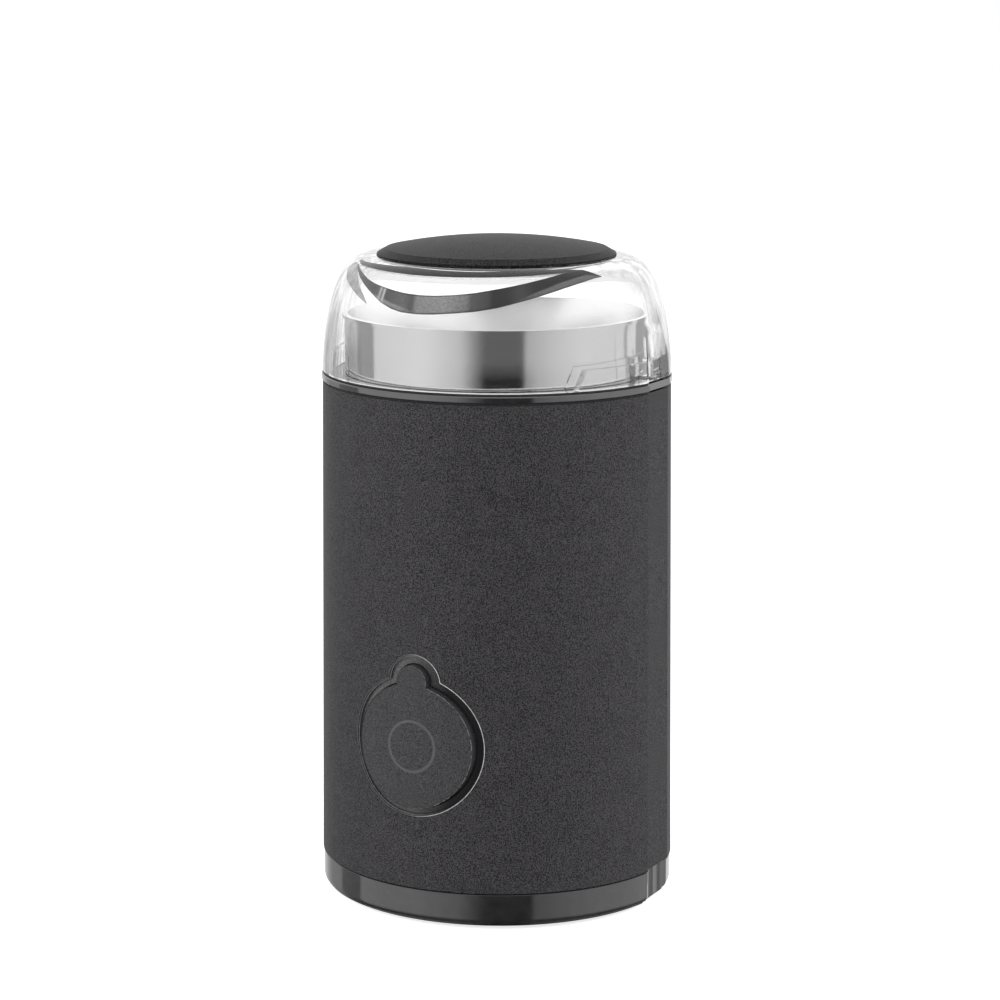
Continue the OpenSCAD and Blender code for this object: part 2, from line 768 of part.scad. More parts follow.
module switch_body() color([0.08, 0.08, 0.09]) {
    difference() {
        block([-switch_w / 2, y_switch, z_switch], [switch_w / 2, y_switch + switch_d, z_switch + switch_t]);
        translate([plunger_x, y_switch - 1, z_stem]) rotate([-90, 0, 0])
            cylinder(h = 5, r = plunger_r + run_gap);
        for (x = [-6, 6]) translate([x, y_switch + switch_d / 2, z_switch - 1])
            cylinder(h = switch_t + 2, r = 1.2);
    }
    // Two ears and the pin that the lever turns on
    for (z = [z_switch, z_switch + switch_t - 1])
        block([lever_pivot_x - 1, y_lever - lever_barrel_r, z], [lever_pivot_x + 1, y_switch + 0.5, z + 1]);
    translate([lever_pivot_x, y_lever, z_switch]) cylinder(h = switch_t, r = lever_pin_r);
}

module switch_plunger() color([0.8, 0.2, 0.15])
    translate([plunger_x, y_lever - lever_barrel_r, z_stem]) rotate([-90, 0, 0])
        cylinder(h = plunger_l, r = plunger_r);

module switch_lever() color([0.75, 0.75, 0.75]) {
    lever_h = switch_t - 2.4;
    translate([lever_pivot_x, y_lever, z_stem - lever_h / 2]) rotate([0, 0, -lever_rest]) {
        difference() {
            union() {
                block([0.5, -lever_t / 2, 0], [lever_l, lever_t / 2, lever_h]);
                cylinder(h = lever_h, r = lever_barrel_r);
            }
            translate([0, 0, -1]) cylinder(h = lever_h + 2, r = lever_pin_r + run_gap);
        }
    }
}

module switch_terminals() color([0.8, 0.7, 0.4]) {
    tab_half_w = 2.4;
    tab_l = 5;
    tab_half_t = 0.4;
    pitch = switch_w / 2 - 2.5;
    for (x = [-pitch, 0, pitch])
        block([x - tab_half_w, y_switch + switch_d, z_stem - tab_half_t],
            [x + tab_half_w, y_switch + switch_d + tab_l, z_stem + tab_half_t]);
}

module switch_bracket() color([0.85, 0.85, 0.82]) {
    half_w = switch_w / 2 + 1.2;
    side_t = 1.8;
    shelf_t = 2;
    y0 = y_spring_wall;
    y1 = y_switch + switch_d;
    wall_top = z_button_spring + button_spring_r + 1.5;
    // Shelf, legs and foot
    block([-half_w, y_switch, z_switch - shelf_t], [half_w, y1, z_switch]);
    for (side = [0, 1]) mirror([side, 0, 0]) {
        block([half_w - side_t + 1, y_switch + 1, z_flange_top], [half_w + 1, y1, z_switch - shelf_t + eps]);
        block([half_w, y_switch + 1, z_switch - shelf_t], [half_w + side_t, y1 - 3, z_switch + switch_t + 3]);
        block([half_w, y0, z_switch + switch_t], [half_w + side_t, y1 - 3, z_switch + switch_t + 3]);
    }
    // Wall that the button's spring stands against
    block([-half_w - side_t, y0, z_switch + switch_t + 0.6], [half_w + side_t, y0 + spring_wall_t, wall_top]);
    // Posts through the switch
    for (x = [-6, 6]) translate([x, y_switch + switch_d / 2, z_switch - 1])
        cylinder(h = switch_t + 1.5, r = 1.1);
}

// ---------------------------------------------------------------- interlock

module interlock_rod() color([0.9, 0.9, 0.88]) {
    translate([rod_x, rod_y, z_rod]) cylinder(h = rod_l, r = rod_r);
    translate([rod_x, rod_y, z_rod_collar]) cylinder(h = 1.6, r = rod_collar_r);
}

module interlock_spring() color([0.7, 0.7, 0.72])
    translate([rod_x, rod_y, z_guide + guide_t + 0.05])
        coil_spring(rod_r + 0.45, 0.25, z_rod_collar - z_guide - guide_t - 0.1, 9);

module safety_switch() color([0.1, 0.1, 0.12]) {
    difference() {
        block([rod_x - safety_t / 2, rod_y - safety_w / 2 - 1.5, z_safety],
            [rod_x + safety_t / 2, rod_y + safety_w / 2 - 1.5, z_safety + safety_h]);
        for (y = [-4, 4]) translate([0, rod_y - 1.5 + y, z_safety + 2]) rotate([0, 90, 0])
            cylinder(h = 2 * rod_x, r = 0.9);
    }
    translate([rod_x, rod_y, z_safety + safety_h - 1]) cylinder(h = 2.3, r = 0.9);
}

module interlock_tower() color([0.86, 0.86, 0.84]) {
    tower_t = 2;
    x1 = rod_x - safety_t / 2;
    x0 = x1 - tower_t;
    y0 = rod_y - 6;
    y1 = rod_y + 5;
    block([x0, y0, z_flange_top], [x1, y1, z_guide + guide_t]);
    block([x1 - eps, y0, z_safety - 2], [rod_x + 1.5, y1 - 2, z_safety]);
    difference() {
        block([x1 - eps, rod_y - 3, z_guide], [rod_x + rod_r + 0.6, rod_y + 3, z_guide + guide_t]);
        translate([rod_x, rod_y, z_guide - 1]) cylinder(h = guide_t + 2, r = rod_r + run_gap);
    }
    for (y = [-4, 4]) translate([x1 - 1, rod_y - 1.5 + y, z_safety + 2]) rotate([0, 90, 0])
        cylinder(h = 3.5, r = 0.8);
}

// ---------------------------------------------------------------- motor

module motor_shaft() color([0.72, 0.72, 0.74])
    translate([0, 0, z_shaft]) cylinder(h = z_shaft_top - z_shaft, r = shaft_r);

module upper_bearing() color([0.7, 0.5, 0.3])
    tube(z_high_bearing, z_high_bearing + bearing_h, shaft_r + run_gap, bearing_out_r);

module lower_bearing() color([0.7, 0.5, 0.3])
    tube(z_low_bearing, z_low_bearing + bearing_h, shaft_r + run_gap, bearing_out_r);

// Leg of a bracket with an ear for the long motor bolts
module bracket_leg(z_plate_side, z_ear, up) {
    lo = min(z_plate_side, z_ear);
    hi = max(z_plate_side, z_ear);
    z_low_ear = up ? z_ear - bracket_t : z_ear;
    difference() {
        union() {
            block([leg_in_x, -leg_w / 2, lo], [leg_out_x, leg_w / 2, hi]);
            block([leg_in_x - ear_w, -leg_w / 2, z_low_ear],
                [leg_out_x, leg_w / 2, z_low_ear + bracket_t]);
        }
        for (y = [-bolt_y, bolt_y]) translate([bolt_x, y, z_low_ear - 1])
            cylinder(h = bracket_t + 2, r = bolt_r + seat_gap);
    }
}

module lower_bracket() color([0.62, 0.63, 0.65]) {
    for (side = [0, 1]) mirror([side, 0, 0]) bracket_leg(z_low_plate, z_stator, true);
    difference() {
        union() {
            block([-leg_out_x, -leg_w / 2, z_low_plate], [leg_out_x, leg_w / 2, z_low_plate + bracket_t]);
            translate([0, 0, z_low_bearing]) cylinder(h = bearing_h, r = housing_r);
        }
        translate([0, 0, z_low_bearing - 1]) cylinder(h = bearing_h + 2, r = bearing_out_r);
    }
}

module upper_bracket() color([0.62, 0.63, 0.65]) {
    for (side = [0, 1]) mirror([side, 0, 0]) bracket_leg(z_high_plate + bracket_t, z_stator_top, false);
    difference() {
        union() {
            block([-leg_out_x, -leg_w / 2, z_high_plate], [leg_out_x, leg_w / 2, z_high_plate + bracket_t]);
            for (x = [-mount_x, mount_x])
                block([x - mount_r - 0.5, -mount_y - mount_r, z_high_plate],
                    [x + mount_r + 0.5, mount_y + mount_r, z_high_plate + bracket_t]);
            translate([0, 0, z_high_bearing]) cylinder(h = bearing_h, r = housing_r);
        }
        translate([0, 0, z_high_bearing - 1]) cylinder(h = bearing_h + 2, r = bearing_out_r);
        four_ways(mount_x, mount_y) translate([0, 0, z_high_plate - 1])
            cylinder(h = bracket_t + 2, r = mount_screw_r + seat_gap);
    }
}

module stator_core() color([0.45, 0.46, 0.48]) {
    translate([0, 0, z_stator]) linear_extrude(stator_h) {
        difference() {
            intersection() {
                square([stator_w, stator_d], center = true);
                circle(stator_w * 0.6);
            }
            square([2 * window_half_x, 2 * window_half_y], center = true);
            for (x = [-bolt_x, bolt_x], y = [-bolt_y, bolt_y])
                translate([x, y]) circle(bolt_r + seat_gap);
        }
        // Two poles with curved shoes
        for (side = [0, 1]) mirror([0, side]) {
            difference() {
                union() {
                    translate([-pole_half_w, stator_bore_r - 1])
                        square([2 * pole_half_w, window_half_y - stator_bore_r + 1.5]);
                    intersection() {
                        circle(shoe_r);
                        polygon([[0, 0], [-1.2 * shoe_r, shoe_r], [1.2 * shoe_r, shoe_r]]);
                    }
                }
                circle(stator_bore_r);
            }
        }
    }
}

module field_coils() color([0.72, 0.4, 0.2]) {
    for (side = [0, 1]) mirror([0, side, 0]) difference() {
        block([-coil_half_w, coil_y0, z_stator - coil_over],
            [coil_half_w, coil_y1, z_stator_top + coil_over]);
        block([-pole_half_w - 0.2, coil_y0 - 1, z_stator - 0.2],
            [pole_half_w + 0.2, coil_y1 + 1, z_stator_top + 0.2]);
    }
}

module armature_core() color([0.5, 0.5, 0.52]) {
    translate([0, 0, z_stator]) linear_extrude(stator_h) difference() {
        circle(armature_r);
        circle(shaft_r);
        for (i = [0 : armature_slots - 1]) rotate(i * 360 / armature_slots) {
            translate([slot_ring_r, 0]) circle(slot_r);
            translate([slot_ring_r + 0.6, -0.7]) square([armature_r, 1.4]);
        }
    }
}

module armature_winding() color([0.75, 0.42, 0.2]) {
    tube(z_stator_top, z_stator_top + winding_over, shaft_r, winding_r);
    tube(z_stator - winding_over, z_stator, shaft_r, winding_r);
    for (i = [0 : armature_slots - 1]) rotate(i * 360 / armature_slots)
        translate([slot_ring_r, 0, z_stator - 0.5]) cylinder(h = stator_h + 1, r = slot_r - 0.1);
}

module commutator() color([0.78, 0.5, 0.3]) {
    bars = 2 * armature_slots;
    difference() {
        tube(z_commutator, z_commutator + commutator_h, shaft_r, commutator_r);
        for (i = [0 : bars - 1]) rotate(i * 360 / bars)
            block([commutator_r - 0.8, -0.2, z_commutator - 1],
                [commutator_r + 1, 0.2, z_commutator + commutator_h - 1]);
    }
}

module brush_holders() color([0.8, 0.7, 0.4]) {
    for (side = [0, 1]) mirror([side, 0, 0]) difference() {
        block([commutator_r + 3.5, -brush_w / 2 - 1.1, z_brush - brush_h / 2 - 1.1],
            [leg_in_x, brush_w / 2 + 1.1, z_brush + brush_h / 2 + 1.1]);
        block([commutator_r + 2, -brush_w / 2 - 0.1, z_brush - brush_h / 2 - 0.1],
            [leg_in_x - brush_wall, brush_w / 2 + 0.1, z_brush + brush_h / 2 + 0.1]);
    }
}

module carbon_brushes() color([0.15, 0.15, 0.15]) {
    for (side = [0, 1]) mirror([side, 0, 0]) difference() {
        block([commutator_r - 2, -brush_w / 2, z_brush - brush_h / 2],
            [brush_end_x, brush_w / 2, z_brush + brush_h / 2]);
        translate([0, 0, z_brush - 5]) cylinder(h = 10, r = commutator_r + run_gap);
    }
}

module brush_springs() color([0.7, 0.7, 0.72])
    for (side = [0, 1]) mirror([side, 0, 0]) translate([brush_end_x, 0, z_brush]) rotate([0, 90, 0])
        coil_spring(1.8, 0.25, brush_spring_l, 5);

module cooling_fan() color([0.25, 0.25, 0.27]) {
    translate([0, 0, z_fan]) {
        difference() {
            union() {
                cylinder(h = fan_h, r = fan_hub_r);
                cylinder(h = 0.9, r = fan_r);
            }
            translate([0, 0, -1]) cylinder(h = fan_h + 2, r = shaft_r);
        }
        for (i = [0 : fan_blades - 1]) rotate(i * 360 / fan_blades)
            translate([fan_hub_r - 0.5, 0, 0.5]) rotate(18) translate([0, -0.6, 0])
                cube([fan_r - fan_hub_r - 1, 1.2, fan_h - 0.5]);
    }
}

module rubber_mounts() color([0.12, 0.12, 0.12])
    four_ways(mount_x, mount_y)
        tube(z_high_plate + bracket_t, z_carrier - mount_boss_h, mount_screw_r + seat_gap, mount_r);

module mount_screws() color([0.75, 0.75, 0.75])
    four_ways(mount_x, mount_y) {
        translate([0, 0, z_high_plate - 1.8]) cylinder(h = 1.8, r = 2.8);
        translate([0, 0, z_high_plate - 0.5])
            cylinder(h = bracket_t + rubber_h + mount_boss_h, r = mount_screw_r);
    }

module motor_bolts() color([0.7, 0.7, 0.7])
    for (x = [-bolt_x, bolt_x], y = [-bolt_y, bolt_y]) translate([x, y, 0]) {
        translate([0, 0, z_stator - bracket_t - nut_t]) cylinder(h = nut_t, r = bolt_head_r);
        translate([0, 0, z_stator - bracket_t - 0.5]) cylinder(h = stator_h + 2 * bracket_t + 1, r = bolt_r);
        translate([0, 0, z_stator_top + bracket_t]) cylinder(h = nut_t, r = bolt_nut_r, $fn = 6);
    }

// ---------------------------------------------------------------- mains

module terminal_block() color([0.93, 0.93, 0.9]) {
    pitch = 8;
    half_w = 1.5 * pitch + 1;
    block_d = 11;
    block_h = 10;
    wire_r = 1.8;
    y0 = foot_ring_r - foot_head_r - 4 - block_d;
    difference() {
        block([-half_w, y0, z_flange], [half_w, y0 + block_d, z_flange + block_h]);
        for (x = [-pitch, 0, pitch]) {
            translate([x, y0 - 1, z_flange + 4]) rotate([-90, 0, 0]) cylinder(h = block_d + 2, r = wire_r);
            translate([x, y0 + block_d / 2, z_flange + 4]) cylinder(h = block_h, r = wire_r - 0.3);
        }
    }
}

gland_neck = 4.6;
gland_flange_r = 7.6;
gland_l = 8;
gland_proud = 1;
y_gland = plan_r_at(z_gland) - plan_shift + gland_proud;

module cord_gland() color([0.07, 0.07, 0.07]) {
    difference() {
        union() {
            difference() {
                along_y(plan_r / 2, y_gland, z_gland) circle(gland_flange_r);
                oval_cone(z_body, z_collar);
            }
            block([-gland_neck, y_gland - gland_l, z_gland - gland_neck],
                [gland_neck, y_gland - 0.5, z_gland + gland_neck]);
        }
        along_y(0, 2 * plan_r, z_gland) circle(gland_bore_r);
    }
}

// ---------------------------------------------------------------- base

// Base trim from a height up to the body, turned, cut out inside and drilled
module trim_ring(z0) {
    r = plan_r_at(z_body) - trim_inset;
    difference() {
        oval_turned() polygon(concat([[0, z0]], trim_edge(r, z0),
            [[r, z_body - trim_bevel], [r - trim_bevel, z_body], [0, z_body]]));
        oval_turned() polygon([[0, z0 - 1], [r - trim_wall, z0 - 1], [r - trim_wall, z_flange],
            [r - flange_w, z_flange], [r - flange_w, z_flange_top], [r - trim_wall, z_flange_top],
            [r - trim_wall, z_body + 1], [0, z_body + 1]]);
        screw_holes(base_screw_r + seat_gap, z_flange - 1, z_flange_top + 1);
    }
}

// Rounded lower edge of the trim, with a fine line cut round it
function trim_edge(r, z0) = [for (a = [0 : 10 : 90]) let (cut = a == trim_line_a ? trim_line_depth : 0)
    [r - trim_round + (trim_round - cut) * sin(a), z0 + trim_round - (trim_round - cut) * cos(a)]];

module screw_holes(r, z0, z1) {
    for (a = [45 : 90 : 315]) rotate(a) translate([base_screw_ring_r, 0, z0]) cylinder(h = z1 - z0, r = r);
}

module base_trim_front() color([0.05, 0.05, 0.05]) {
    difference() {
        trim_ring(z_trim);
        block([-2 * plan_r, front_trim_end, 0], [2 * plan_r, 2 * plan_r, z_body + 1]);
        // Rounds the lower corner at each end, seen from the side
        rotate([90, 0, 90]) translate([front_trim_end, 0, -2 * plan_r]) linear_extrude(4 * plan_r)
            polygon(concat([[1, z_trim - 1], [1, z_trim + trim_round]],
                [for (a = [0 : 15 : 90]) [trim_round * (cos(a) - 1), z_trim + trim_round * (1 - sin(a))]],
                [[-trim_round, z_trim - 1]]));
    }
}

module base_trim_rear() color([0.05, 0.05, 0.05]) {
    difference() {
        trim_ring(z_trim + rear_trim_rise);
        block([-2 * plan_r, -2 * plan_r, 0], [2 * plan_r, front_trim_end + trim_split, z_body + 1]);
        side_flats(z_trim, z_body);
        for (side = [-1, 1])
            translate([side * (plan_r_at(z_body) - flat_depth - flute_depth + flute_r), flute_y, 0])
                cylinder(h = z_body + 1, r = flute_r);
    }
}

module base_plate() color([0.1, 0.1, 0.1]) {
    difference() {
        union() {
            intersection() {
                oval_cone(z_plate, z_flange, plate_inset);
                block([-2 * plan_r, -2 * plan_r, 0], [2 * plan_r, 0, z_body]);
            }
            oval_cone(z_plate, z_flange, rear_plate_inset);
        }
        screw_holes(base_screw_r + seat_gap, z_plate - 1, z_flange + 1);
        screw_holes(screw_head_r + seat_gap, z_plate - 1, z_plate + 1.2);
        feet_places() translate([0, 0, z_plate - 1]) cylinder(h = plate_t + 2, r = foot_peg_r + seat_gap);
        for (i = [0 : vent_count - 1])
            translate([(i - (vent_count - 1) / 2) * 2 * vent_w - vent_w / 2, -vent_l / 2 - 6, z_plate - 1])
                cube([vent_w, vent_l, plate_t + 2]);
    }
}

module feet_places() {
    for (a = [0 : 90 : 270]) rotate(a) translate([foot_ring_r, 0, 0]) children();
}

module rubber_feet() color([0.1, 0.1, 0.1])
    feet_places() {
        cylinder(h = z_plate, r = foot_r);
        cylinder(h = z_flange + foot_head_t, r = foot_peg_r);
        translate([0, 0, z_flange]) cylinder(h = foot_head_t, r = foot_head_r);
    }

module base_screws() color([0.7, 0.7, 0.7])
    for (a = [45 : 90 : 315]) rotate(a) translate([base_screw_ring_r, 0, z_plate]) {
        difference() {
            cylinder(h = 1.2, r = screw_head_r);
            block([-screw_head_r, -0.4, -1], [screw_head_r, 0.4, 0.7]);
        }
        cylinder(h = base_screw_l, r = base_screw_r);
    }

lid_dome();
lid_cap();
collar_ring();
grinding_bowl();
bowl_seal();
bowl_carrier();
blade();
blade_hub();
blade_nut();
body_shell();
button();
button_tray();
button_spring();
switch_body();
switch_plunger();
switch_lever();
switch_bracket();
switch_terminals();
interlock_rod();
interlock_spring();
safety_switch();
interlock_tower();
motor_shaft();
upper_bearing();
lower_bearing();
upper_bracket();
lower_bracket();
stator_core();
field_coils();
armature_core();
armature_winding();
commutator();
brush_holders();
carbon_brushes();
brush_springs();
cooling_fan();
rubber_mounts();
mount_screws();
motor_bolts();
terminal_block();
cord_gland();
base_trim_front();
base_trim_rear();
base_plate();
rubber_feet();
base_screws();
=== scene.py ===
"""Looks of the electric spice grinder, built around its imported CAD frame.

Metres, +Z up, the front faces -Y. A turn is an angle round the vertical axis, from the front to the right.
"""

import math

import bpy
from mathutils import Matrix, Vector
from mathutils.bvhtree import BVHTree


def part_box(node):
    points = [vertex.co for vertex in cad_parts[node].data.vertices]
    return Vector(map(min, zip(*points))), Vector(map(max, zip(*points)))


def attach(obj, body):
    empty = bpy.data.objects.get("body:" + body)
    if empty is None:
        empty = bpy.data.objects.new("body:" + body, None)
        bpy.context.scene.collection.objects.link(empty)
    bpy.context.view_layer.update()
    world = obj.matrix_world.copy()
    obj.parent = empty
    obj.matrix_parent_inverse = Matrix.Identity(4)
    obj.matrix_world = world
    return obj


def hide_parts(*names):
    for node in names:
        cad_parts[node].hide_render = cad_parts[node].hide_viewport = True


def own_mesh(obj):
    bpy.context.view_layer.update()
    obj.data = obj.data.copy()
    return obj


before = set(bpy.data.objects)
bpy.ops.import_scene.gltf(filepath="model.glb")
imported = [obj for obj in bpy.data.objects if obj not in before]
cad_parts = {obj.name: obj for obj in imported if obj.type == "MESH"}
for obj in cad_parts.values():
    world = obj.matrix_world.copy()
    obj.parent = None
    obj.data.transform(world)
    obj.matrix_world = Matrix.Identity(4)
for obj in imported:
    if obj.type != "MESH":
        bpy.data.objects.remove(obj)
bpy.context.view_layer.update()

MM = 0.001

# ---------------------------------------------------------------- camera
VIEW_TURN = math.radians(28.1)  # the camera stands this far round from the front
VIEW_PITCH = math.radians(10.725)  # and looks down by this much
VIEW_DISTANCE = 0.8276  # level distance from the object's middle
VIEW_HEIGHT = 0.2596
VIEW_LENS = 115.8  # focal length in mm on the sensor below
VIEW_SENSOR = 36.0
VIEW_SHIFT = 0.0034

# ---------------------------------------------------------------- light
ROOM_LIGHT = 0.62  # the pale room, as matt surfaces receive it
ROOM_ABOVE = 1.05  # the room above eye level, as gloss surfaces mirror it
ROOM_ABOVE_IN_LID = 1.4  # the same, mirrored inside the clear lid
EYE_LEVEL = (-0.05, 0.06)  # the way's rise over which the room's lower part gives way to its upper part
TABLE_RISE = (-0.62, -0.34)  # the way's rise over which the table's shade fades
TABLE_SHADE = 0.12
# brightness of the room's lower part as gloss surfaces mirror it, by the turn from the camera (degrees)
ROOM_MIRROR = (
    (-180, 1.15),
    (-158, 0.9),
    (-142, 0.6),
    (-126, 0.8),
    (-125, 0.38),
    (-104, 0.38),
    (-103, 0.8),
    (-102, 1.1),
    (-80, 1.15),
    (-56, 1.2),
    (-27, 0.85),
    (-17, 0.35),
    (-9, 0.03),
    (19, 0.03),
    (22, 0.6),
    (43, 0.9),
    (65, 1.1),
    (108, 1.1),
    (110, 0.6),
    (117, 0.6),
    (118, 1.2),
    (128, 1.2),
    (129, 0.4),
    (146, 0.4),
    (148, 1.2),
    (180, 1.2),
)
# turn from the camera (degrees), height, level distance, size (metres) and power (watts) of each lamp
LAMPS = {
    "lamp_top": (0, 1.3, 0.15, 0.9, 9.0),
    "lamp_left": (-62, 0.7, 1.1, 0.7, 6.0),
    "lamp_right": (88, 0.6, 1.1, 0.7, 7.0),
}
LAMP_AIM = Vector((0, 0, 0.08))
FLOOR_RADIUS = 4.0
FLOOR_GLOW = 0.75  # lifts the floor to white while it keeps the object's shadow

# ---------------------------------------------------------------- sizes of the small pieces (mm)
BUTTON_Z = 47.1  # height of the button's middle
RAY_START = -80.0  # in front of the whole object; rays to its front surfaces start here
# outline of a disc with a nub on top: the disc's radius, the nub's radius, the nub's rise
OPENING_OUTLINE = (18.42, 7.42, 16.1)
BUTTON_OUTLINE = (16.02, 4.22, 16.6)
OPENING_BEAD = 0.11  # radius of the bead on the opening's edge
BUTTON_BEAD = 0.08  # and on the button's edge
RING_OUTER = 6.9
RING_INNER = 6.15
COIL_WIRE = 0.45  # the wire's radius
COIL_TURNS = 6.2
STRIP_DEPTH = 0.5  # how deep the strips lie behind the lid's inner wall
STRIP_THICKNESS = 0.2
PLAN_SHIFT = 2.35  # the centres of the oval plan's two arcs lie this far over the middle
FLAT_SPAN = (-4.5, 9.5)  # where the plan's side flats start and end, from front to back
JOINT_BEVEL = 0.06
# dark rings set in the joints above and below the collar, standing in for the shade in those seams
# inner and outer arc radius, lower and upper height, half the width between the flats
JOINTS = {
    "seam_shade_above": (45.8, 46.32, 137.08, 137.49, 45.01),
    "seam_shade_below": (45.8, 46.30, 134.83, 135.24, 45.03),
}


# ================================================================ node helpers
class Tree:
    """Adds and links the nodes of one node tree."""

    def __init__(self, tree):
        self.tree = tree
        tree.nodes.clear()

    def add(self, kind, inputs=None, **settings):
        """A new node; each input takes a value, a socket or a node's first output."""
        node = self.tree.nodes.new(kind)
        for key, value in settings.items():
            setattr(node, key, value)
        for key, value in (inputs or {}).items():
            self.put(node.inputs[key], value)
        return node

    def put(self, socket, value):
        if isinstance(value, bpy.types.Node):
            value = value.outputs[0]
        if isinstance(value, bpy.types.NodeSocket):
            self.tree.links.new(value, socket)
        else:
            socket.default_value = value

    def math(self, operation, a, b=0.0):
        return self.add("ShaderNodeMath", {0: a, 1: b}, operation=operation).outputs[0]

    def span(self, value, low, high, to_low, to_high):
        """Maps low..high to to_low..to_high and holds the ends."""
        return self.add(
            "ShaderNodeMapRange",
            {"Value": value, "From Min": low, "From Max": high, "To Min": to_low, "To Max": to_high},
        ).outputs["Result"]

    def spread(self, noise, to_low, to_high):
        """Spreads the usual range of a noise over two values."""
        return self.span(noise, 0.3, 0.7, to_low, to_high)

    def noise(self, where, scale, detail=2.0):
        return self.add(
            "ShaderNodeTexNoise", {"Vector": where, "Scale": scale, "Detail": detail}
        ).outputs["Fac"]

    def place(self, scale=(1.0, 1.0, 1.0)):
        """The point on the surface in the object's own space; a small scale stretches what follows it."""
        where = self.add("ShaderNodeTexCoord").outputs["Object"]
        return self.add("ShaderNodeMapping", {"Vector": where, "Scale": scale}).outputs[0]

    def mix(self, factor, a, b):
        node = self.add("ShaderNodeMix", data_type="RGBA")
        self.put(node.inputs["Factor"], factor)
        self.put(node.inputs["A"], a)
        self.put(node.inputs["B"], b)
        return node.outputs["Result"]


def grey(value, warm=0.0):
    """A grey, or a slightly warm one."""
    return (value * (1 + warm), value, value * (1 - warm), 1.0)


def new_material(name):
    made = bpy.data.materials.new(name)
    made.use_nodes = True
    return made, Tree(made.node_tree)


BROAD_STEP = 23.0  # a finish's broad cloud is this much coarser than its grain
BROAD_SHARE = 0.07
FINEST_GRAIN = 3600.0  # specks of about 0.3 mm


def finish_material(
    name,
    dark,
    light,
    rough,
    metallic=0.0,
    grain=1200.0,
    stretch=(1.0, 1.0, 1.0),
    bump=0.0,
    edge=0.0,
    contrast=(0.35, 0.65),
    specular=0.5,
    ior=1.5,
    sparkle=0.0,
):
    """A Principled finish whose colour, gloss and height follow a fine grain.

    `grain` is in specks per metre, `contrast` the range of the grain that turns dark into light, `edge` the
    radius that corners are shaded round with, and `sparkle` how much the mirrored light follows the grain.
    """
    made, t = new_material(name)
    where = t.place(stretch)
    fine = t.noise(where, grain, 1.0)
    broad = t.noise(where, grain / BROAD_STEP)
    mixed = t.math("ADD", t.math("MULTIPLY", fine, 1 - BROAD_SHARE), t.math("MULTIPLY", broad, BROAD_SHARE))
    gloss = specular
    if sparkle:
        gloss = t.span(mixed, *contrast, specular * (1 - sparkle), specular * (1 + sparkle))
    shade = t.add(
        "ShaderNodeBsdfPrincipled",
        {
            "Base Color": t.mix(t.span(mixed, *contrast, 0.0, 1.0), dark, light),
            "Roughness": t.spread(mixed, *rough),
            "Metallic": metallic,
            "IOR": ior,
            "Specular IOR Level": gloss,
        },
    )
    normal = None
    if edge:
        normal = t.add("ShaderNodeBevel", {"Radius": edge}, samples=6).outputs[0]
    if bump:
        raised = t.add("ShaderNodeBump", {"Height": fine, "Strength": 1.0, "Distance": bump})
        if normal:
            t.put(raised.inputs["Normal"], normal)
        normal = raised.outputs[0]
    if normal:
        t.put(shade.inputs["Normal"], normal)
    t.add("ShaderNodeOutputMaterial", {"Surface": shade})
    return made


# ================================================================ materials
def clear_plastic():
    """Clear moulded plastic: it bends light, mirrors a little, and lets lamp light through."""
    made, t = new_material("clear_plastic")
    swell = t.noise(t.place((1.0, 1.0, 0.25)), 55.0, 1.0)
    haze = t.noise(t.place(), 340.0, 3.0)
    # painted shade: upright grey streaks are painted into the colour where the wall turns away, standing in
    # for the dark lines its bending of light makes
    streak = t.noise(t.place((1.0, 1.0, 0.06)), 420.0)
    facing = t.add("ShaderNodeLayerWeight", {"Blend": 0.5}).outputs["Facing"]
    steep = t.span(facing, 0.45, 0.85, 0.0, 1.0)
    painted_streaks = t.math("MULTIPLY", steep, t.span(streak, 0.42, 0.58, 0.1, 0.9))
    glass = t.add(
        "ShaderNodeBsdfPrincipled",
        {
            "Base Color": t.mix(painted_streaks, (0.99, 0.987, 0.99, 1.0), grey(0.16)),
            "Roughness": t.span(haze, 0.35, 0.7, 0.0, 0.012),
            "IOR": 1.49,
            "Transmission Weight": 1.0,
            "Normal": t.add("ShaderNodeBump", {"Height": swell, "Strength": 0.5, "Distance": 0.0004}),
        },
    )
    # lamp light, and light that was turned back inside the wall a few times, goes straight on
    path = t.add("ShaderNodeLightPath").outputs
    turned = t.math("GREATER_THAN", path["Glossy Depth"], 0.5)
    clear = t.add(
        "ShaderNodeBsdfTransparent", {"Color": t.mix(turned, (0.937, 0.935, 0.938, 1.0), grey(0.70))}
    )
    straight = t.math("MAXIMUM", path["Is Shadow Ray"], t.math("GREATER_THAN", path["Glossy Depth"], 2.5))
    both = t.add("ShaderNodeMixShader", {0: straight, 1: glass, 2: clear})
    # long ways through the wall come out greyer
    dim = t.add("ShaderNodeVolumeAbsorption", {"Color": grey(0.1), "Density": 18.0})
    t.add("ShaderNodeOutputMaterial", {"Surface": both, "Volume": dim})
    return made


BOWL_TILT = 0.16  # how far the shading inside the bowl is tilted up, so it mirrors the bright room above
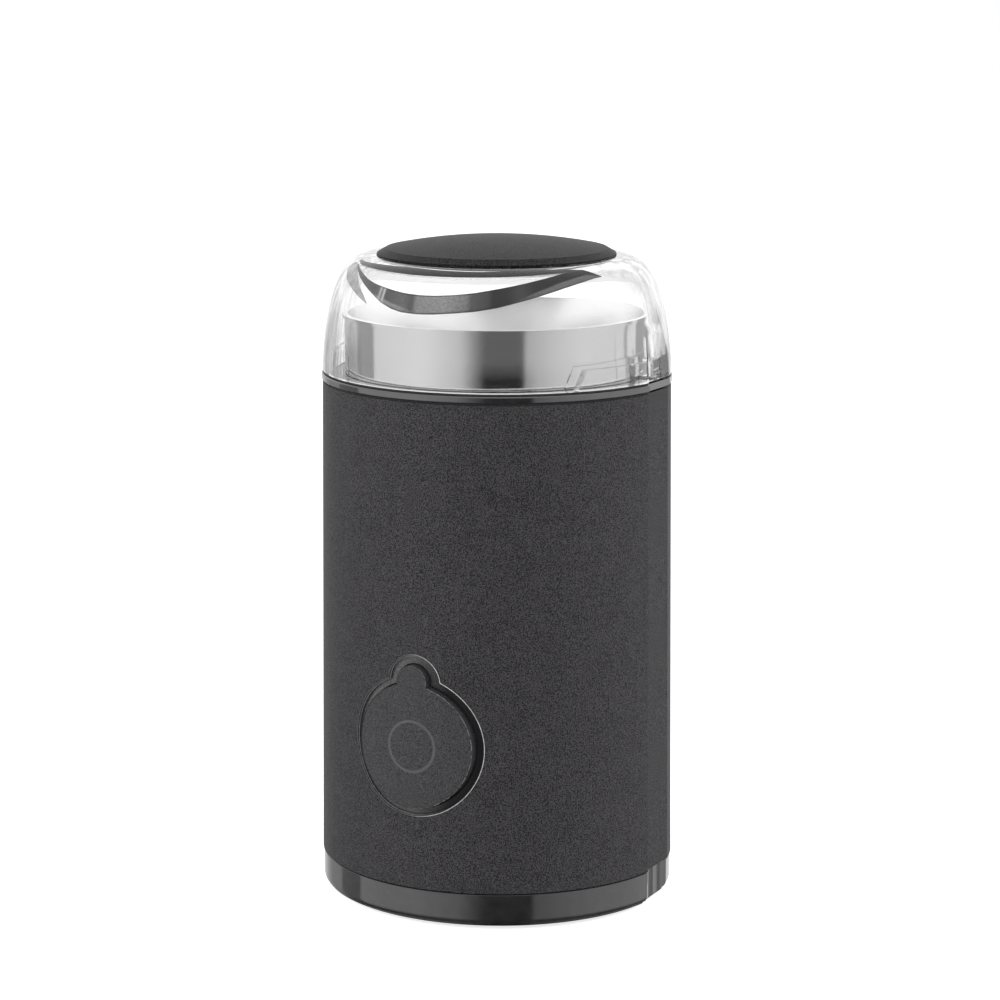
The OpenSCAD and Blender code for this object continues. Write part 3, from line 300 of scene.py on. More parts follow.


def bowl_steel():
    """Spun stainless steel: fine rings round the bowl's axis."""
    made, t = new_material("bowl_steel")
    spun = t.noise(t.place((0.02, 0.02, 1.0)), 9000.0, 3.0)
    smear = t.noise(t.place((1.0, 1.0, 0.3)), 60.0)
    fine_rings = t.add("ShaderNodeBump", {"Height": spun, "Strength": 0.25, "Distance": 0.00001})
    outside = t.add(
        "ShaderNodeBsdfPrincipled",
        {
            "Base Color": t.mix(spun, grey(0.56), grey(0.64)),
            "Metallic": 1.0,
            "Roughness": t.span(t.math("ADD", spun, smear), 0.6, 1.4, 0.07, 0.12),
            "Normal": fine_rings,
        },
    )
    # painted light: the inside is painted near-white, far paler than the outside's steel, and its shading is
    # tilted up so it mirrors the bright room above the opening
    tilted = t.add(
        "ShaderNodeVectorMath",
        {0: t.add("ShaderNodeNewGeometry").outputs["Normal"], 1: (0.0, 0.0, BOWL_TILT)},
        operation="ADD",
    )
    upright = t.add("ShaderNodeVectorMath", {0: tilted}, operation="NORMALIZE")
    inside = t.add(
        "ShaderNodeBsdfPrincipled",
        {
            "Base Color": t.mix(smear, grey(0.96), grey(0.99)),
            "Metallic": 1.0,
            "Roughness": t.spread(spun, 0.20, 0.26),
            "Normal": upright,
        },
    )
    # inside is where the surface faces the axis or looks up
    facing = t.add("ShaderNodeNewGeometry").outputs["True Normal"]
    radial = t.place((1.0, 1.0, 0.0))
    outward = t.add("ShaderNodeVectorMath", {0: facing, 1: radial}, operation="DOT_PRODUCT")
    upward = t.add("ShaderNodeSeparateXYZ", {0: facing}).outputs["Z"]
    within = t.math(
        "MAXIMUM",
        t.math("LESS_THAN", outward.outputs["Value"], -0.002),
        t.math("GREATER_THAN", upward, 0.5),
    )
    both = t.add("ShaderNodeMixShader", {0: within, 1: outside, 2: inside})
    t.add("ShaderNodeOutputMaterial", {"Surface": both})
    return made


SHEET_THICKNESS = 0.65 * MM


def lamination():
    """Stacked electrical steel: thin dark lines at each sheet."""
    made, t = new_material("lamination")
    height = t.add("ShaderNodeSeparateXYZ", {0: t.place()}).outputs["Z"]
    sheet = t.math("FRACT", t.math("MULTIPLY", height, 1 / SHEET_THICKNESS))
    line = t.span(t.math("ABSOLUTE", t.math("SUBTRACT", sheet, 0.5)), 0.34, 0.5, 0.0, 1.0)
    rust = t.noise(t.place(), 260.0, 4.0)
    colour = t.mix(line, t.mix(rust, grey(0.13), grey(0.20, 0.05)), grey(0.03))
    shade = t.add(
        "ShaderNodeBsdfPrincipled",
        {
            "Base Color": colour,
            "Metallic": 0.8,
            "Roughness": t.spread(rust, 0.38, 0.55),
            "Normal": t.add(
                "ShaderNodeBump",
                {"Height": t.math("SUBTRACT", 1.0, line), "Strength": 0.6, "Distance": 0.0001},
            ),
        },
    )
    t.add("ShaderNodeOutputMaterial", {"Surface": shade})
    return made


def copper():
    """Enamelled winding wire, laid in fine turns."""
    made, t = new_material("copper")
    wave = t.add(
        "ShaderNodeTexWave",
        {"Vector": t.place(), "Scale": 700.0, "Distortion": 1.2, "Detail": 1.0, "Detail Scale": 1.5},
        bands_direction="Z",
    ).outputs["Fac"]
    shade = t.add(
        "ShaderNodeBsdfPrincipled",
        {
            "Base Color": t.mix(wave, (0.20, 0.06, 0.02, 1), (0.68, 0.30, 0.12, 1)),
            "Metallic": 0.85,
            "Roughness": t.span(wave, 0.0, 1.0, 0.42, 0.26),
            "Normal": t.add("ShaderNodeBump", {"Height": wave, "Strength": 0.8, "Distance": 0.00015}),
        },
    )
    t.add("ShaderNodeOutputMaterial", {"Surface": shade})
    return made


def along(t, value, stops):
    """A grey that follows `value` (0 to 1) through the stops (place, level)."""
    ramp = t.add("ShaderNodeValToRGB", {0: value})
    points = ramp.color_ramp.elements  # a new ramp has two
    for number, (place, level) in enumerate(stops):
        point = points[number] if number < 2 else points.new(place)
        point.position = place
        point.color = (level, level, level, 1)
    return ramp.outputs["Color"]


STRIP_SPAN = (-48, 74)  # the turns from the front (degrees) that lie at UV x = 0 and 1
# the painted reflection in the lid, a strip: turn from the front in degrees, then how pale its upper and its
# lower part are, and where across the strip the two meet
STRIP_REFLECTION_TONES = (
    (-48, 0.11, 0.11, 0.0),
    (-24, 0.09, 0.26, 0.1),
    (-21, 0.11, 0.26, 0.2),
    (-20, 0.50, 0.50, 0.2),
    (-19, 0.10, 0.26, 0.2),
    (-18, 0.55, 0.50, 0.2),
    (-17, 0.08, 0.26, 0.3),
    (-8, 0.13, 0.25, 0.25),
    (-4, 0.08, 0.18, 0.1),
    (-2, 0.25, 0.29, 0.0),
    (9, 0.29, 0.29, 0.0),
    (17, 0.19, 0.19, 0.0),
    (19, 0.08, 0.08, 0.0),
    (25, 0.045, 0.045, 0.0),
    (27, 0.008, 0.008, 0.0),
    (32, 0.012, 0.012, 0.05),
    (37, 0.04, 0.10, 0.1),
    (42, 0.012, 0.12, 0.25),
    (52, 0.006, 0.13, 0.4),
    (74, 0.004, 0.11, 0.45),
)


def lid_painted_reflection():
    """Painted reflection: a strip whose tone runs along it (UV x) and changes across it (UV y), with fine
    dark borders.
    """
    made, t = new_material("lid_painted_reflection")
    where = t.add("ShaderNodeSeparateXYZ", {0: t.add("ShaderNodeTexCoord").outputs["UV"]})
    u, v = where.outputs["X"], where.outputs["Y"]
    low, high = STRIP_SPAN
    stops = [((turn - low) / (high - low), *tones) for turn, *tones in STRIP_REFLECTION_TONES]
    upper = along(t, u, [(s[0], s[1]) for s in stops])
    lower = along(t, u, [(s[0], s[2]) for s in stops])
    split = along(t, u, [(s[0], s[3]) for s in stops])
    over = t.math("SUBTRACT", v, split)
    tone = t.mix(t.span(over, -0.04, 0.06, 0.0, 1.0), lower, upper)
    border = t.math("MAXIMUM", t.span(v, 0.90, 0.97, 0.0, 1.0), t.span(v, 0.02, 0.07, 1.0, 0.0))
    speck = t.noise(t.place(), 1900.0)
    tone = t.mix(t.span(speck, 0.4, 0.6, 0.0, 0.25), tone, grey(0.0))
    shade = t.add(
        "ShaderNodeBsdfPrincipled",
        {
            "Base Color": t.mix(t.math("MULTIPLY", border, 0.7), tone, grey(0.012)),
            "Roughness": t.spread(speck, 0.3, 0.4),
            "Specular IOR Level": 0.05,
        },
    )
    t.add("ShaderNodeOutputMaterial", {"Surface": shade})
    return made


def rim_line(name, highlight_tone, dotted):
    """Polished edge with a painted highlight: brighter on one side (+X), where it would catch the light."""
    made, t = new_material(name)
    side = t.add("ShaderNodeSeparateXYZ", {0: t.place()}).outputs["X"]
    broken = t.span(t.noise(t.place(), 900.0, 1.0), 0.42, 0.56, dotted, 1.0)
    # painted highlight: paler towards +X, broken into dots by noise
    painted_side_light = t.math("MULTIPLY", t.span(side, -0.002, 0.007, 0.16, 1.0), broken)
    shade = t.add(
        "ShaderNodeBsdfPrincipled",
        {
            "Base Color": t.mix(painted_side_light, grey(0.015), grey(highlight_tone)),
            "Metallic": 0.25,
            "Roughness": t.span(painted_side_light, 0.0, 1.0, 0.42, 0.3),
        },
    )
    t.add("ShaderNodeOutputMaterial", {"Surface": shade})
    return made


def tray_black():
    """Gloss tray round the button, with painted light: its floor is painted pale on the left as a painted
    reflection and stays black on the right as painted shade.
    """
    made, t = new_material("tray_black")
    side = t.add("ShaderNodeSeparateXYZ", {0: t.place()}).outputs["X"]
    speck = t.noise(t.place(), 2700.0, 1.0)
    # painted reflection and shade by side: pale towards the left, black towards the right
    painted_side_light = t.math("MULTIPLY", t.span(side, -0.001, 0.009, 1.0, 0.0), t.span(speck, 0.42, 0.58, 0.55, 1.0))
    shade = t.add(
        "ShaderNodeBsdfPrincipled",
        {
            "Base Color": t.mix(painted_side_light, grey(0.010), grey(0.115)),
            "Roughness": t.span(painted_side_light, 0.0, 1.0, 0.34, 0.5),
            "Specular IOR Level": t.span(painted_side_light, 0.0, 1.0, 0.2, 0.5),
        },
    )
    t.add("ShaderNodeOutputMaterial", {"Surface": shade})
    return made


MATERIALS = {
    "lid_painted_reflection": lid_painted_reflection(),
    "rim_line": rim_line("rim_line", 0.62, 0.75),
    "button_line": rim_line("button_line", 0.22, 0.1),
    "tray_black": tray_black(),
    # the strips' inner face, painted pale so it doesn't show dark through the clear lid
    "strip_back_painted_pale": finish_material("strip_back_painted_pale", grey(0.90), grey(0.95), (0.5, 0.6), grain=800.0),
    "strip_black": finish_material(
        "strip_black", grey(0.003), grey(0.012), (0.30, 0.40), grain=900.0, specular=0.1
    ),
    # a pale strip in the clear lid, a painted reflection
    "strip_pale_reflection": finish_material(
        "strip_pale_reflection", grey(0.30), grey(0.46), (0.30, 0.40), grain=420.0, specular=0.3
    ),
    "mark_grey": finish_material(
        "mark_grey",
        (0.052, 0.050, 0.053, 1),
        (0.088, 0.085, 0.089, 1),
        (0.5, 0.6),
        grain=FINEST_GRAIN,
        bump=0.00001,
    ),
    "clear_plastic": clear_plastic(),
    "bowl_steel": bowl_steel(),
    "lamination": lamination(),
    "copper": copper(),
    "cap_black": finish_material(
        "cap_black",
        grey(0.0),
        grey(0.017),
        (0.46, 0.56),
        grain=FINEST_GRAIN,
        contrast=(0.42, 0.58),
        bump=0.00002,
        edge=0.0003,
        specular=0.16,
        sparkle=0.5,
    ),
    "gloss_black": finish_material(
        "gloss_black", grey(0.016), grey(0.022), (0.05, 0.08), grain=500.0, edge=0.0002, ior=1.75
    ),
    "collar_black": finish_material(
        "collar_black", grey(0.016), grey(0.022), (0.05, 0.08), grain=500.0, edge=0.0002, ior=2.0
    ),
    "soft_black": finish_material(
        "soft_black",
        (0.008, 0.0073, 0.0086, 1),
        (0.042, 0.0393, 0.043, 1),
        (0.54, 0.66),
        grain=FINEST_GRAIN,
        contrast=(0.42, 0.58),
        bump=0.000012,
        edge=0.00035,
        specular=0.45,
        sparkle=0.4,
    ),
    "button_black": finish_material(
        "button_black",
        (0.017, 0.0160, 0.0176, 1),
        (0.046, 0.0432, 0.047, 1),
        (0.50, 0.62),
        grain=FINEST_GRAIN,
        contrast=(0.42, 0.58),
        bump=0.000012,
        edge=0.0005,
        sparkle=0.3,
    ),
    "blade_steel": finish_material(
        "blade_steel", grey(0.60), grey(0.70), (0.16, 0.24), metallic=1.0, stretch=(0.1, 1, 1), edge=0.0001
    ),
    "zinc_steel": finish_material(
        "zinc_steel", (0.50, 0.51, 0.53, 1), (0.62, 0.62, 0.63, 1), (0.28, 0.42), metallic=1.0, grain=700.0
    ),
    "brass": finish_material(
        "brass", (0.62, 0.46, 0.19, 1), (0.76, 0.58, 0.27, 1), (0.24, 0.36), metallic=1.0, grain=600.0
    ),
    "bronze": finish_material(
        "bronze",
        (0.42, 0.28, 0.14, 1),
        (0.58, 0.40, 0.21, 1),
        (0.40, 0.55),
        metallic=1.0,
        grain=2200.0,
        bump=0.00003,
    ),
    "rubber_black": finish_material(
        "rubber_black", grey(0.014), grey(0.024), (0.72, 0.86), grain=1500.0, bump=0.00004, edge=0.0003
    ),
    "seal_silicone": finish_material(
        "seal_silicone", grey(0.08), grey(0.11), (0.55, 0.68), grain=900.0, bump=0.00002
    ),
    "inner_plastic": finish_material(
        "inner_plastic", grey(0.040), grey(0.056), (0.48, 0.60), grain=1400.0, bump=0.00003, edge=0.0002
    ),
    "white_plastic": finish_material(
        "white_plastic", (0.56, 0.56, 0.52, 1), (0.64, 0.64, 0.60, 1), (0.42, 0.52), grain=1000.0, edge=0.0002
    ),
    "switch_black": finish_material(
        "switch_black", grey(0.016), grey(0.024), (0.30, 0.38), grain=900.0, edge=0.0002
    ),
    "red_plastic": finish_material(
        "red_plastic", (0.40, 0.03, 0.02, 1), (0.48, 0.045, 0.035, 1), (0.30, 0.38), grain=900.0, edge=0.0002
    ),
    "carbon": finish_material("carbon", grey(0.022), grey(0.040), (0.45, 0.60), grain=2600.0, bump=0.00003),
}

OTHER_NODES = "zinc_steel"  # the finish of every node that isn't named below
FINISH_NODES = {
    "clear_plastic": ("lid_dome",),
    "cap_black": ("lid_cap",),
    "gloss_black": ("base_trim_front", "base_trim_rear"),
    "collar_black": ("collar_ring",),
    "tray_black": ("button_tray",),
    "soft_black": ("body_shell",),
    "button_black": ("button",),
    "bowl_steel": ("grinding_bowl",),
    "blade_steel": ("blade",),
    "lamination": ("stator_core", "armature_core"),
    "copper": ("field_coils", "armature_winding"),
    "brass": ("commutator", "brush_holders", "switch_terminals", "blade_nut"),
    "bronze": ("upper_bearing", "lower_bearing"),
    "rubber_black": ("rubber_feet", "rubber_mounts", "cord_gland"),
    "seal_silicone": ("bowl_seal",),
    "inner_plastic": ("bowl_carrier", "base_plate", "cooling_fan"),
    "white_plastic": ("interlock_rod", "interlock_tower", "switch_bracket", "terminal_block"),
    "switch_black": ("switch_body", "safety_switch", "blade_hub"),
    "red_plastic": ("switch_plunger",),
    "carbon": ("carbon_brushes",),
}
NODE_FINISH = {node: finish for finish, names in FINISH_NODES.items() for node in names}
for node_name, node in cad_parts.items():
    node.data.materials.clear()
    node.data.materials.append(MATERIALS[NODE_FINISH.get(node_name, OTHER_NODES)])


def smooth_over(node, limit):
    """Shades a node smoothly over each edge that bends less than `limit` degrees; its shape stays."""
    group = bpy.data.node_groups.new(f"smooth_{node}", "GeometryNodeTree")
    group.interface.new_socket("Geometry", in_out="INPUT", socket_type="NodeSocketGeometry")
    group.interface.new_socket("Geometry", in_out="OUTPUT", socket_type="NodeSocketGeometry")
    nodes, links = group.nodes, group.links
    start, end = nodes.new("NodeGroupInput"), nodes.new("NodeGroupOutput")
    joined = nodes.new("GeometryNodeMergeByDistance")
    joined.inputs["Distance"].default_value = 1e-6
    bare = nodes.new("GeometryNodeRemoveAttribute")
    bare.inputs["Name"].default_value = "custom_normal"
    faces = nodes.new("GeometryNodeSetShadeSmooth")
    edges = nodes.new("GeometryNodeSetShadeSmooth")
    edges.domain = "EDGE"
    angle = nodes.new("GeometryNodeInputMeshEdgeAngle")
    gentle = nodes.new("FunctionNodeCompare")
    gentle.operation = "LESS_THAN"
    gentle.inputs["B"].default_value = math.radians(limit)
    links.new(start.outputs[0], joined.inputs["Geometry"])
    links.new(joined.outputs["Geometry"], bare.inputs["Geometry"])
    links.new(bare.outputs["Geometry"], faces.inputs["Geometry"])
    links.new(faces.outputs["Geometry"], edges.inputs["Geometry"])
    links.new(angle.outputs["Unsigned Angle"], gentle.inputs["A"])
    links.new(gentle.outputs["Result"], edges.inputs["Shade Smooth"])
    links.new(edges.outputs["Geometry"], end.inputs[0])
    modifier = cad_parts[node].modifiers.new("smooth", "NODES")
    modifier.node_group = group


smooth_over("lid_dome", limit=20)
smooth_over("lid_cap", limit=8)


# ================================================================ camera, light, floor
def make_camera():
    """The camera, turned to the object's right front corner and looking a little down."""
    data = bpy.data.cameras.new("camera")
    data.sensor_width = VIEW_SENSOR
    data.lens = VIEW_LENS
    data.shift_x = VIEW_SHIFT
    made = bpy.data.objects.new("camera", data)
    made.location = (
        VIEW_DISTANCE * math.sin(VIEW_TURN),
        -VIEW_DISTANCE * math.cos(VIEW_TURN),
        VIEW_HEIGHT,
    )
    made.rotation_euler = (math.pi / 2 - VIEW_PITCH, 0.0, VIEW_TURN)
    bpy.context.scene.collection.objects.link(made)
    bpy.context.scene.camera = made


def make_world():
    """A white room: plain for matt surfaces, with darker stripes where gloss surfaces mirror it."""
    world = bpy.data.worlds.new("room")
    bpy.context.scene.world = world
    world.use_nodes = True
    world.cycles.sampling_method = "NONE"
    t = Tree(world.node_tree)
    way = t.add("ShaderNodeSeparateXYZ", {0: t.add("ShaderNodeTexCoord").outputs["Generated"]}).outputs
    turn = t.math("ARCTAN2", way["X"], t.math("MULTIPLY", way["Y"], -1.0))
    turn = t.math("SUBTRACT", turn, VIEW_TURN)
    share = t.math("FRACT", t.math("ADD", t.math("DIVIDE", turn, 2 * math.pi), 1.5))
    # a ramp holds no level above 1, so it holds half of each
    stripes = along(t, share, [(degrees / 360 + 0.5, level / 2) for degrees, level in ROOM_MIRROR])
    path = t.add("ShaderNodeLightPath").outputs
    in_lid = t.math("GREATER_THAN", path["Transmission Depth"], 0.5)
    # the stripes are only below eye level, and straight down they give way to the table's shade,
    # which isn't seen through the clear lid
    above = t.span(way["Z"], *EYE_LEVEL, 0.0, 1.0)
    table = t.math("MAXIMUM", t.span(way["Z"], *TABLE_RISE, TABLE_SHADE, 1.0), in_lid)
    upper = t.math("MULTIPLY", above, t.span(in_lid, 0.0, 1.0, ROOM_ABOVE, ROOM_ABOVE_IN_LID))
    lower = t.math("MULTIPLY", t.math("MULTIPLY", stripes, 2.0), table)
    level = t.math("ADD", upper, t.math("MULTIPLY", t.math("SUBTRACT", 1.0, above), lower))
    mirrored = t.math("GREATER_THAN", path["Glossy Depth"], 0.5)
    passed = t.math("MAXIMUM", path["Is Camera Ray"], path["Is Transmission Ray"])
    seen = t.math("MAXIMUM", passed, path["Is Glossy Ray"])
    room = t.add("ShaderNodeBackground", {"Color": grey(1.0), "Strength": ROOM_LIGHT})
    white = t.add("ShaderNodeBackground", {"Color": grey(1.0), "Strength": 1.0})
    gloss = t.add("ShaderNodeBackground", {"Color": grey(1.0), "Strength": level})
    shown = t.add("ShaderNodeMixShader", {0: mirrored, 1: white, 2: gloss})
    both = t.add("ShaderNodeMixShader", {0: seen, 1: room, 2: shown})
    t.add("ShaderNodeOutputWorld", {"Surface": both})


def soft_lamp(name, turn, height, distance, size, power):
    """A soft panel, turned from the camera by `turn` degrees, aimed at the object."""
    data = bpy.data.lights.new(name, "AREA")
    data.shape = "DISK"
    data.size = size
    data.energy = power
    made = bpy.data.objects.new(name, data)
    angle = VIEW_TURN + math.radians(turn)
    made.location = (distance * math.sin(angle), -distance * math.cos(angle), height)
    aim = LAMP_AIM - made.location
    made.rotation_euler = aim.to_track_quat("-Z", "Y").to_euler()
    made.visible_glossy = False
    made.visible_transmission = False
    made.visible_camera = False
    bpy.context.scene.collection.objects.link(made)


def make_floor():
    """A white floor that takes the object's shadow; gloss surfaces mirror the room in its place."""
    made, t = new_material("floor_white")
    path = t.add("ShaderNodeLightPath").outputs
    seen = t.math("MAXIMUM", path["Is Camera Ray"], path["Is Transmission Ray"])
    speck = t.noise(t.place(), 40.0)
    lit = t.add("ShaderNodeBsdfDiffuse", {"Color": t.mix(speck, grey(0.80), grey(0.82))})
    glow = t.add("ShaderNodeEmission", {"Color": grey(1.0), "Strength": FLOOR_GLOW})
    white = t.add("ShaderNodeAddShader", {0: lit, 1: glow})
    shown = t.add("ShaderNodeMixShader", {0: seen, 1: lit, 2: white})
    mirrored = t.math("GREATER_THAN", path["Glossy Depth"], 0.5)
    clear = t.add("ShaderNodeBsdfTransparent")
    both = t.add("ShaderNodeMixShader", {0: mirrored, 1: shown, 2: clear})
    t.add("ShaderNodeOutputMaterial", {"Surface": both})
    bpy.ops.mesh.primitive_circle_add(vertices=96, radius=FLOOR_RADIUS, fill_type="NGON")
    floor = bpy.context.object
    floor.name = "floor"
    floor.data.materials.append(made)
    floor.visible_glossy = False


make_camera()
make_world()
make_floor()
for lamp, values in LAMPS.items():
    soft_lamp(lamp, *values)


def surface_of(node):
    """A node's surface, as a tree that rays are cast at."""
    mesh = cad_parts[node].data
    return BVHTree.FromPolygons([v.co for v in mesh.vertices], [p.vertices for p in mesh.polygons])


def make_piece(name, vertices, faces, body, finish, smooth=True, uvs=None):
    """A mesh that rides on a body and takes the slot of its finish."""
    mesh = bpy.data.meshes.new(name)
    mesh.from_pydata(vertices, [], faces)
    mesh.update()
    for polygon in mesh.polygons:
        polygon.use_smooth = smooth
    if uvs:
        layer = mesh.uv_layers.new(name="UVMap")
        for loop in mesh.loops:
            layer.data[loop.index].uv = uvs[loop.vertex_index]
    mesh.materials.append(MATERIALS[finish])
    made = bpy.data.objects.new(name, mesh)
    bpy.context.scene.collection.objects.link(made)
    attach(made, body)
    return made


def between(rows, turn):
    """The row of a table at a turn, read between its neighbours."""
    first, second = next(pair for pair in zip(rows, rows[1:]) if turn <= pair[1][0])
    share = (turn - first[0]) / (second[0] - first[0])
    return [a + (b - a) * share for a, b in zip(first, second)]


LID_CENTRE = Vector((0, 0, 130 * MM))  # the strips are laid out from this point in the lid
LID_TREE = surface_of("lid_dome")


def in_lid_wall(turn, rise, depth):
    """The point `depth` mm behind the lid's inner wall, seen from LID_CENTRE under two angles."""
    a, e = math.radians(turn), math.radians(rise)
    way = Vector((math.sin(a) * math.cos(e), -math.cos(a) * math.cos(e), math.sin(e)))
    found = LID_TREE.ray_cast(LID_CENTRE, way)[0]
    return found + way * depth * MM


def lid_band(name, rows, finish, across=6):
    """A thin strip laid just behind the lid's inner wall. Rows: turn, rise of the lower and of the upper
    edge.
    """
    first, last = rows[0][0], rows[-1][0]
    vertices, uvs = [], []
    for depth in (STRIP_DEPTH, STRIP_DEPTH - STRIP_THICKNESS):  # the outer face, then the inner face
        for turn in range(first, last + 1):
            low, high = between(rows, turn)[1:]
            for k in range(across + 1):
                share = k / across
                vertices.append(in_lid_wall(turn, low + (high - low) * share, depth))
                uvs.append(((turn - STRIP_SPAN[0]) / (STRIP_SPAN[1] - STRIP_SPAN[0]), share))
    count = last - first
    wide = across + 1
    layer = (count + 1) * wide
    faces = []
    for i in range(count):
        for k in range(across):
            a, b = i * wide + k, (i + 1) * wide + k
            faces.append((a, b, b + 1, a + 1))
            faces.append((layer + a, layer + a + 1, layer + b + 1, layer + b))
        for k, flip in ((0, True), (across, False)):
            a, b = i * wide + k, (i + 1) * wide + k
            side = (a, b, layer + b, layer + a)
            faces.append(side[::-1] if flip else side)
    for i, flip in ((0, False), (count, True)):
        for k in range(across):
            a = i * wide + k
            side = (a, a + 1, layer + a + 1, layer + a)
            faces.append(side[::-1] if flip else side)
    made = make_piece(name, vertices, faces, "lid", finish, uvs=uvs)
    made.data.materials.append(MATERIALS["strip_back_painted_pale"])
    for face, polygon in zip(faces, made.data.polygons):
        if min(face) >= layer:  # the strip's inner face is painted pale, so it doesn't show dark through the clear lid
            polygon.material_index = 1


# turn from the front, rise of the lower edge, rise of the upper edge (degrees)
CRESCENT = (
    (-48, 44.1, 44.5),
    (-44, 43.2, 43.8),
    (-40, 42.2, 43.2),
    (-34, 40.5, 42.1),
    (-29, 39.0, 41.2),
    (-24, 37.5, 40.5),
    (-19, 35.8, 40.0),
    (-13, 34.3, 39.4),
    (-8, 33.6, 39.0),
    (-1, 33.4, 38.8),
    (5, 33.6, 38.9),
    (12, 34.1, 39.3),
    (20, 34.7, 40.0),
    (28, 35.7, 41.1),
    (34, 36.8, 41.9),
    (40, 37.9, 42.8),
    (47, 39.2, 43.9),
    (54, 40.5, 45.0),
    (60, 41.4, 45.8),
    (66, 42.2, 46.0),
    (69, 42.5, 44.4),
    (72, 42.6, 42.8),
)
UNDER_CAP = (
    (-53, 45.3, 45.7),
    (-46, 44.7, 45.9),
    (-33, 44.8, 46.8),
    (-19, 44.9, 47.5),
    (-8, 44.9, 47.6),
    (8, 45.0, 47.5),
    (20, 45.1, 47.4),
    (30, 45.2, 47.6),
    (42, 45.3, 48.0),
    (50, 45.5, 47.8),
    (58, 45.7, 47.0),
    (66, 45.8, 45.9),
)
LEFT_BAND = (
    (-55, 41.6, 44.2),
    (-52, 40.7, 44.4),
    (-49, 39.8, 44.3),
    (-45, 38.9, 43.4),
    (-40, 37.9, 41.6),
    (-36, 37.0, 39.9),
    (-32, 36.0, 38.1),
    (-28, 35.0, 36.2),
    (-26, 34.6, 34.9),
)
# the crescent strip is a painted reflection in the clear lid
lid_band("lid_painted_reflection", CRESCENT, "lid_painted_reflection")
lid_band("lid_under_cap", UNDER_CAP, "strip_black")
# a pale band at the crescent's left end, a painted reflection
lid_band("lid_strip_end", LEFT_BAND, "strip_pale_reflection")


def bead(name, path, radius, body, finish, closed=True, sides=6):
    """A fine round bead along a path of points."""
    count = len(path)
    vertices, faces = [], []
    for i, point in enumerate(path):
        ahead = path[(i + 1) % count] if closed or i + 1 < count else point
        behind = path[i - 1] if closed or i else point
        way = (ahead - behind).normalized()
        side = way.cross(Vector((0, 1, 0))).normalized()
        other = side.cross(way)
        for k in range(sides):
            a = 2 * math.pi * k / sides
            vertices.append(point + (side * math.cos(a) + other * math.sin(a)) * radius)
    for i in range(count if closed else count - 1):
        n = (i + 1) % count
        for k in range(sides):
            m = (k + 1) % sides
            faces.append((i * sides + k, i * sides + m, n * sides + m, n * sides + k))
    if not closed:
        faces.append(tuple(range(sides))[::-1])
        faces.append(tuple((count - 1) * sides + k for k in range(sides)))
    return make_piece(name, vertices, faces, body, finish)


def button_coil(name, node, wire, turns, steps=28, flat_turns=0.6):
    """The button's return spring, wound through the box of its CAD node.

    `wire` is the wire's radius. At each end the spring lies flat for `flat_turns`.
    """
    low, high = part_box(node)
    middle = (low + high) / 2
    radius = (high.x - low.x) / 2 - wire
    length = high.y - low.y
    count = int(turns * steps)
    path = []
    for i in range(count + 1):
        turned = turns * i / count
        a = 2 * math.pi * turned
        share = min(1.0, max(0.0, (turned - flat_turns) / (turns - 2 * flat_turns)))
        y = low.y + wire + (length - 2 * wire) * share
        path.append(Vector((middle.x + radius * math.cos(a), y, middle.z + radius * math.sin(a))))
    made = bead(name, path, wire, "housing", "zinc_steel", closed=False, sides=10)
    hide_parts(node)
    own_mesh(made)


button_coil("button_return_coil", "button_spring", COIL_WIRE * MM, COIL_TURNS)

BODY_TREE = surface_of("body_shell")
BUTTON_TREE = surface_of("button")


def on_front(tree, x, z, out):
    """The front surface at x, z (mm from the button's middle), or `out` mm in front of it."""
    start = Vector((x * MM, RAY_START * MM, (BUTTON_Z + z) * MM))
    return tree.ray_cast(start, Vector((0, 1, 0)))[0] + Vector((0, -out * MM, 0))


def pear_line(big, small, up, steps=150):
    """Points (x, z) in mm of the outline of a disc with a nub on top, about the disc's middle."""
    # height and half width of the place where the two circles meet
    z = (big * big - small * small + up * up) / (2 * up)
    x = math.sqrt(big * big - z * z)
    start = math.atan2(z, x)
    low = math.asin((z - up) / small)
    line = []
    for i in range(steps):  # down the right side of the disc and up its left side
        a = start - (math.pi + 2 * start) * i / steps
        line.append((big * math.cos(a), big * math.sin(a)))
    for i in range(steps // 3):  # and back over the nub
        a = math.pi - low - (math.pi - 2 * low) * i / (steps // 3)
        line.append((small * math.cos(a), up + small * math.sin(a)))
    return line


def edge_path(tree, outline, nudge, out=0.0, carry=0.0):
    """The outline laid on a front surface; each depth is read `nudge` mm outside it, or inside if negative.

    `carry` (0 to 1) is how much of the slope found there is carried back to the line.
    """
    big, small, up = outline
    lines = [pear_line(big + step, small + step, up) for step in (0.0, nudge, 2 * nudge)]
    points = []
    for (x, z), near_spot, far_spot in zip(*lines):
        near = on_front(tree, *near_spot, out).y
        far = on_front(tree, *far_spot, out).y
        points.append(Vector((x * MM, near + (near - far) * carry, (BUTTON_Z + z) * MM)))
    return points


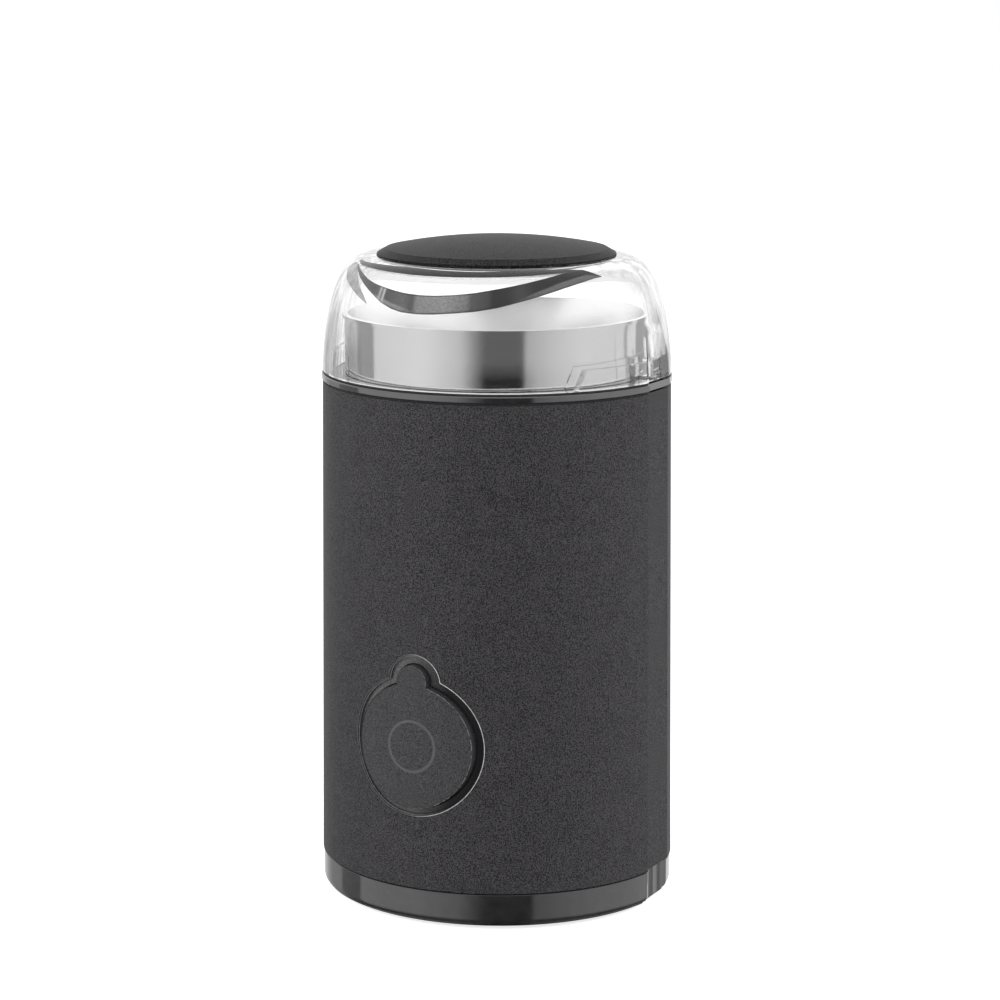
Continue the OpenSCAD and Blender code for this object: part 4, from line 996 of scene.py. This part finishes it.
opening_edge = edge_path(BODY_TREE, OPENING_OUTLINE, nudge=0.3, carry=1.0)
bead("opening_rim", opening_edge, OPENING_BEAD * MM, "housing", "rim_line")
button_edge = edge_path(BUTTON_TREE, BUTTON_OUTLINE, nudge=-0.25, out=-0.05)
bead("button_rim", button_edge, BUTTON_BEAD * MM, "button", "button_line")


def ring_mark(name, outer, inner, parts=96, rows=2, proud=0.015):
    """A flat printed ring that follows the button's curved face."""
    vertices, faces = [], []
    wide = rows + 1
    for i in range(parts):
        a = 2 * math.pi * i / parts
        for k in range(wide):
            r = inner + (outer - inner) * k / rows
            vertices.append(on_front(BUTTON_TREE, r * math.cos(a), r * math.sin(a), proud))
        n = (i + 1) % parts
        for k in range(rows):
            faces.append((i * wide + k, i * wide + k + 1, n * wide + k + 1, n * wide + k))
    make_piece(name, vertices, faces, "button", "mark_grey")


ring_mark("button_ring", RING_OUTER, RING_INNER)


def oval_point(radius, turn, limit):
    """Point (x, y) in mm of the oval plan with an arc radius, held inside the side flats."""
    a = math.radians(turn)
    # the arc's centre lies on the other side of the middle
    shift = -PLAN_SHIFT if math.cos(a) < 0 else PLAN_SHIFT
    b = shift * math.cos(a)
    reach = -b + math.sqrt(b * b - shift * shift + radius * radius)
    x, y = reach * math.sin(a), -reach * math.cos(a)
    if FLAT_SPAN[0] < y < FLAT_SPAN[1] and abs(x) > limit:
        x = math.copysign(limit, x)
    return x, y


def seam_shade_ring(name, inner, outer, z0, z1, flat, count=240):
    """A dark ring that fills the joint above or below the collar, as painted shade in the seam."""
    vertices, faces = [], []
    for i in range(count):
        for radius, z in ((inner, z0), (outer, z0 + JOINT_BEVEL), (outer, z1 - JOINT_BEVEL), (inner, z1)):
            x, y = oval_point(radius, 360 * i / count, flat)
            vertices.append((x * MM, y * MM, z * MM))
        n = (i + 1) % count
        for k in range(4):
            m = (k + 1) % 4
            faces.append((i * 4 + k, i * 4 + m, n * 4 + m, n * 4 + k))
    make_piece(name, vertices, faces, "housing", "rubber_black", smooth=False)


for joint, sizes in JOINTS.items():
    seam_shade_ring(joint, *sizes)


bpy.context.scene.view_settings.view_transform = "Standard"
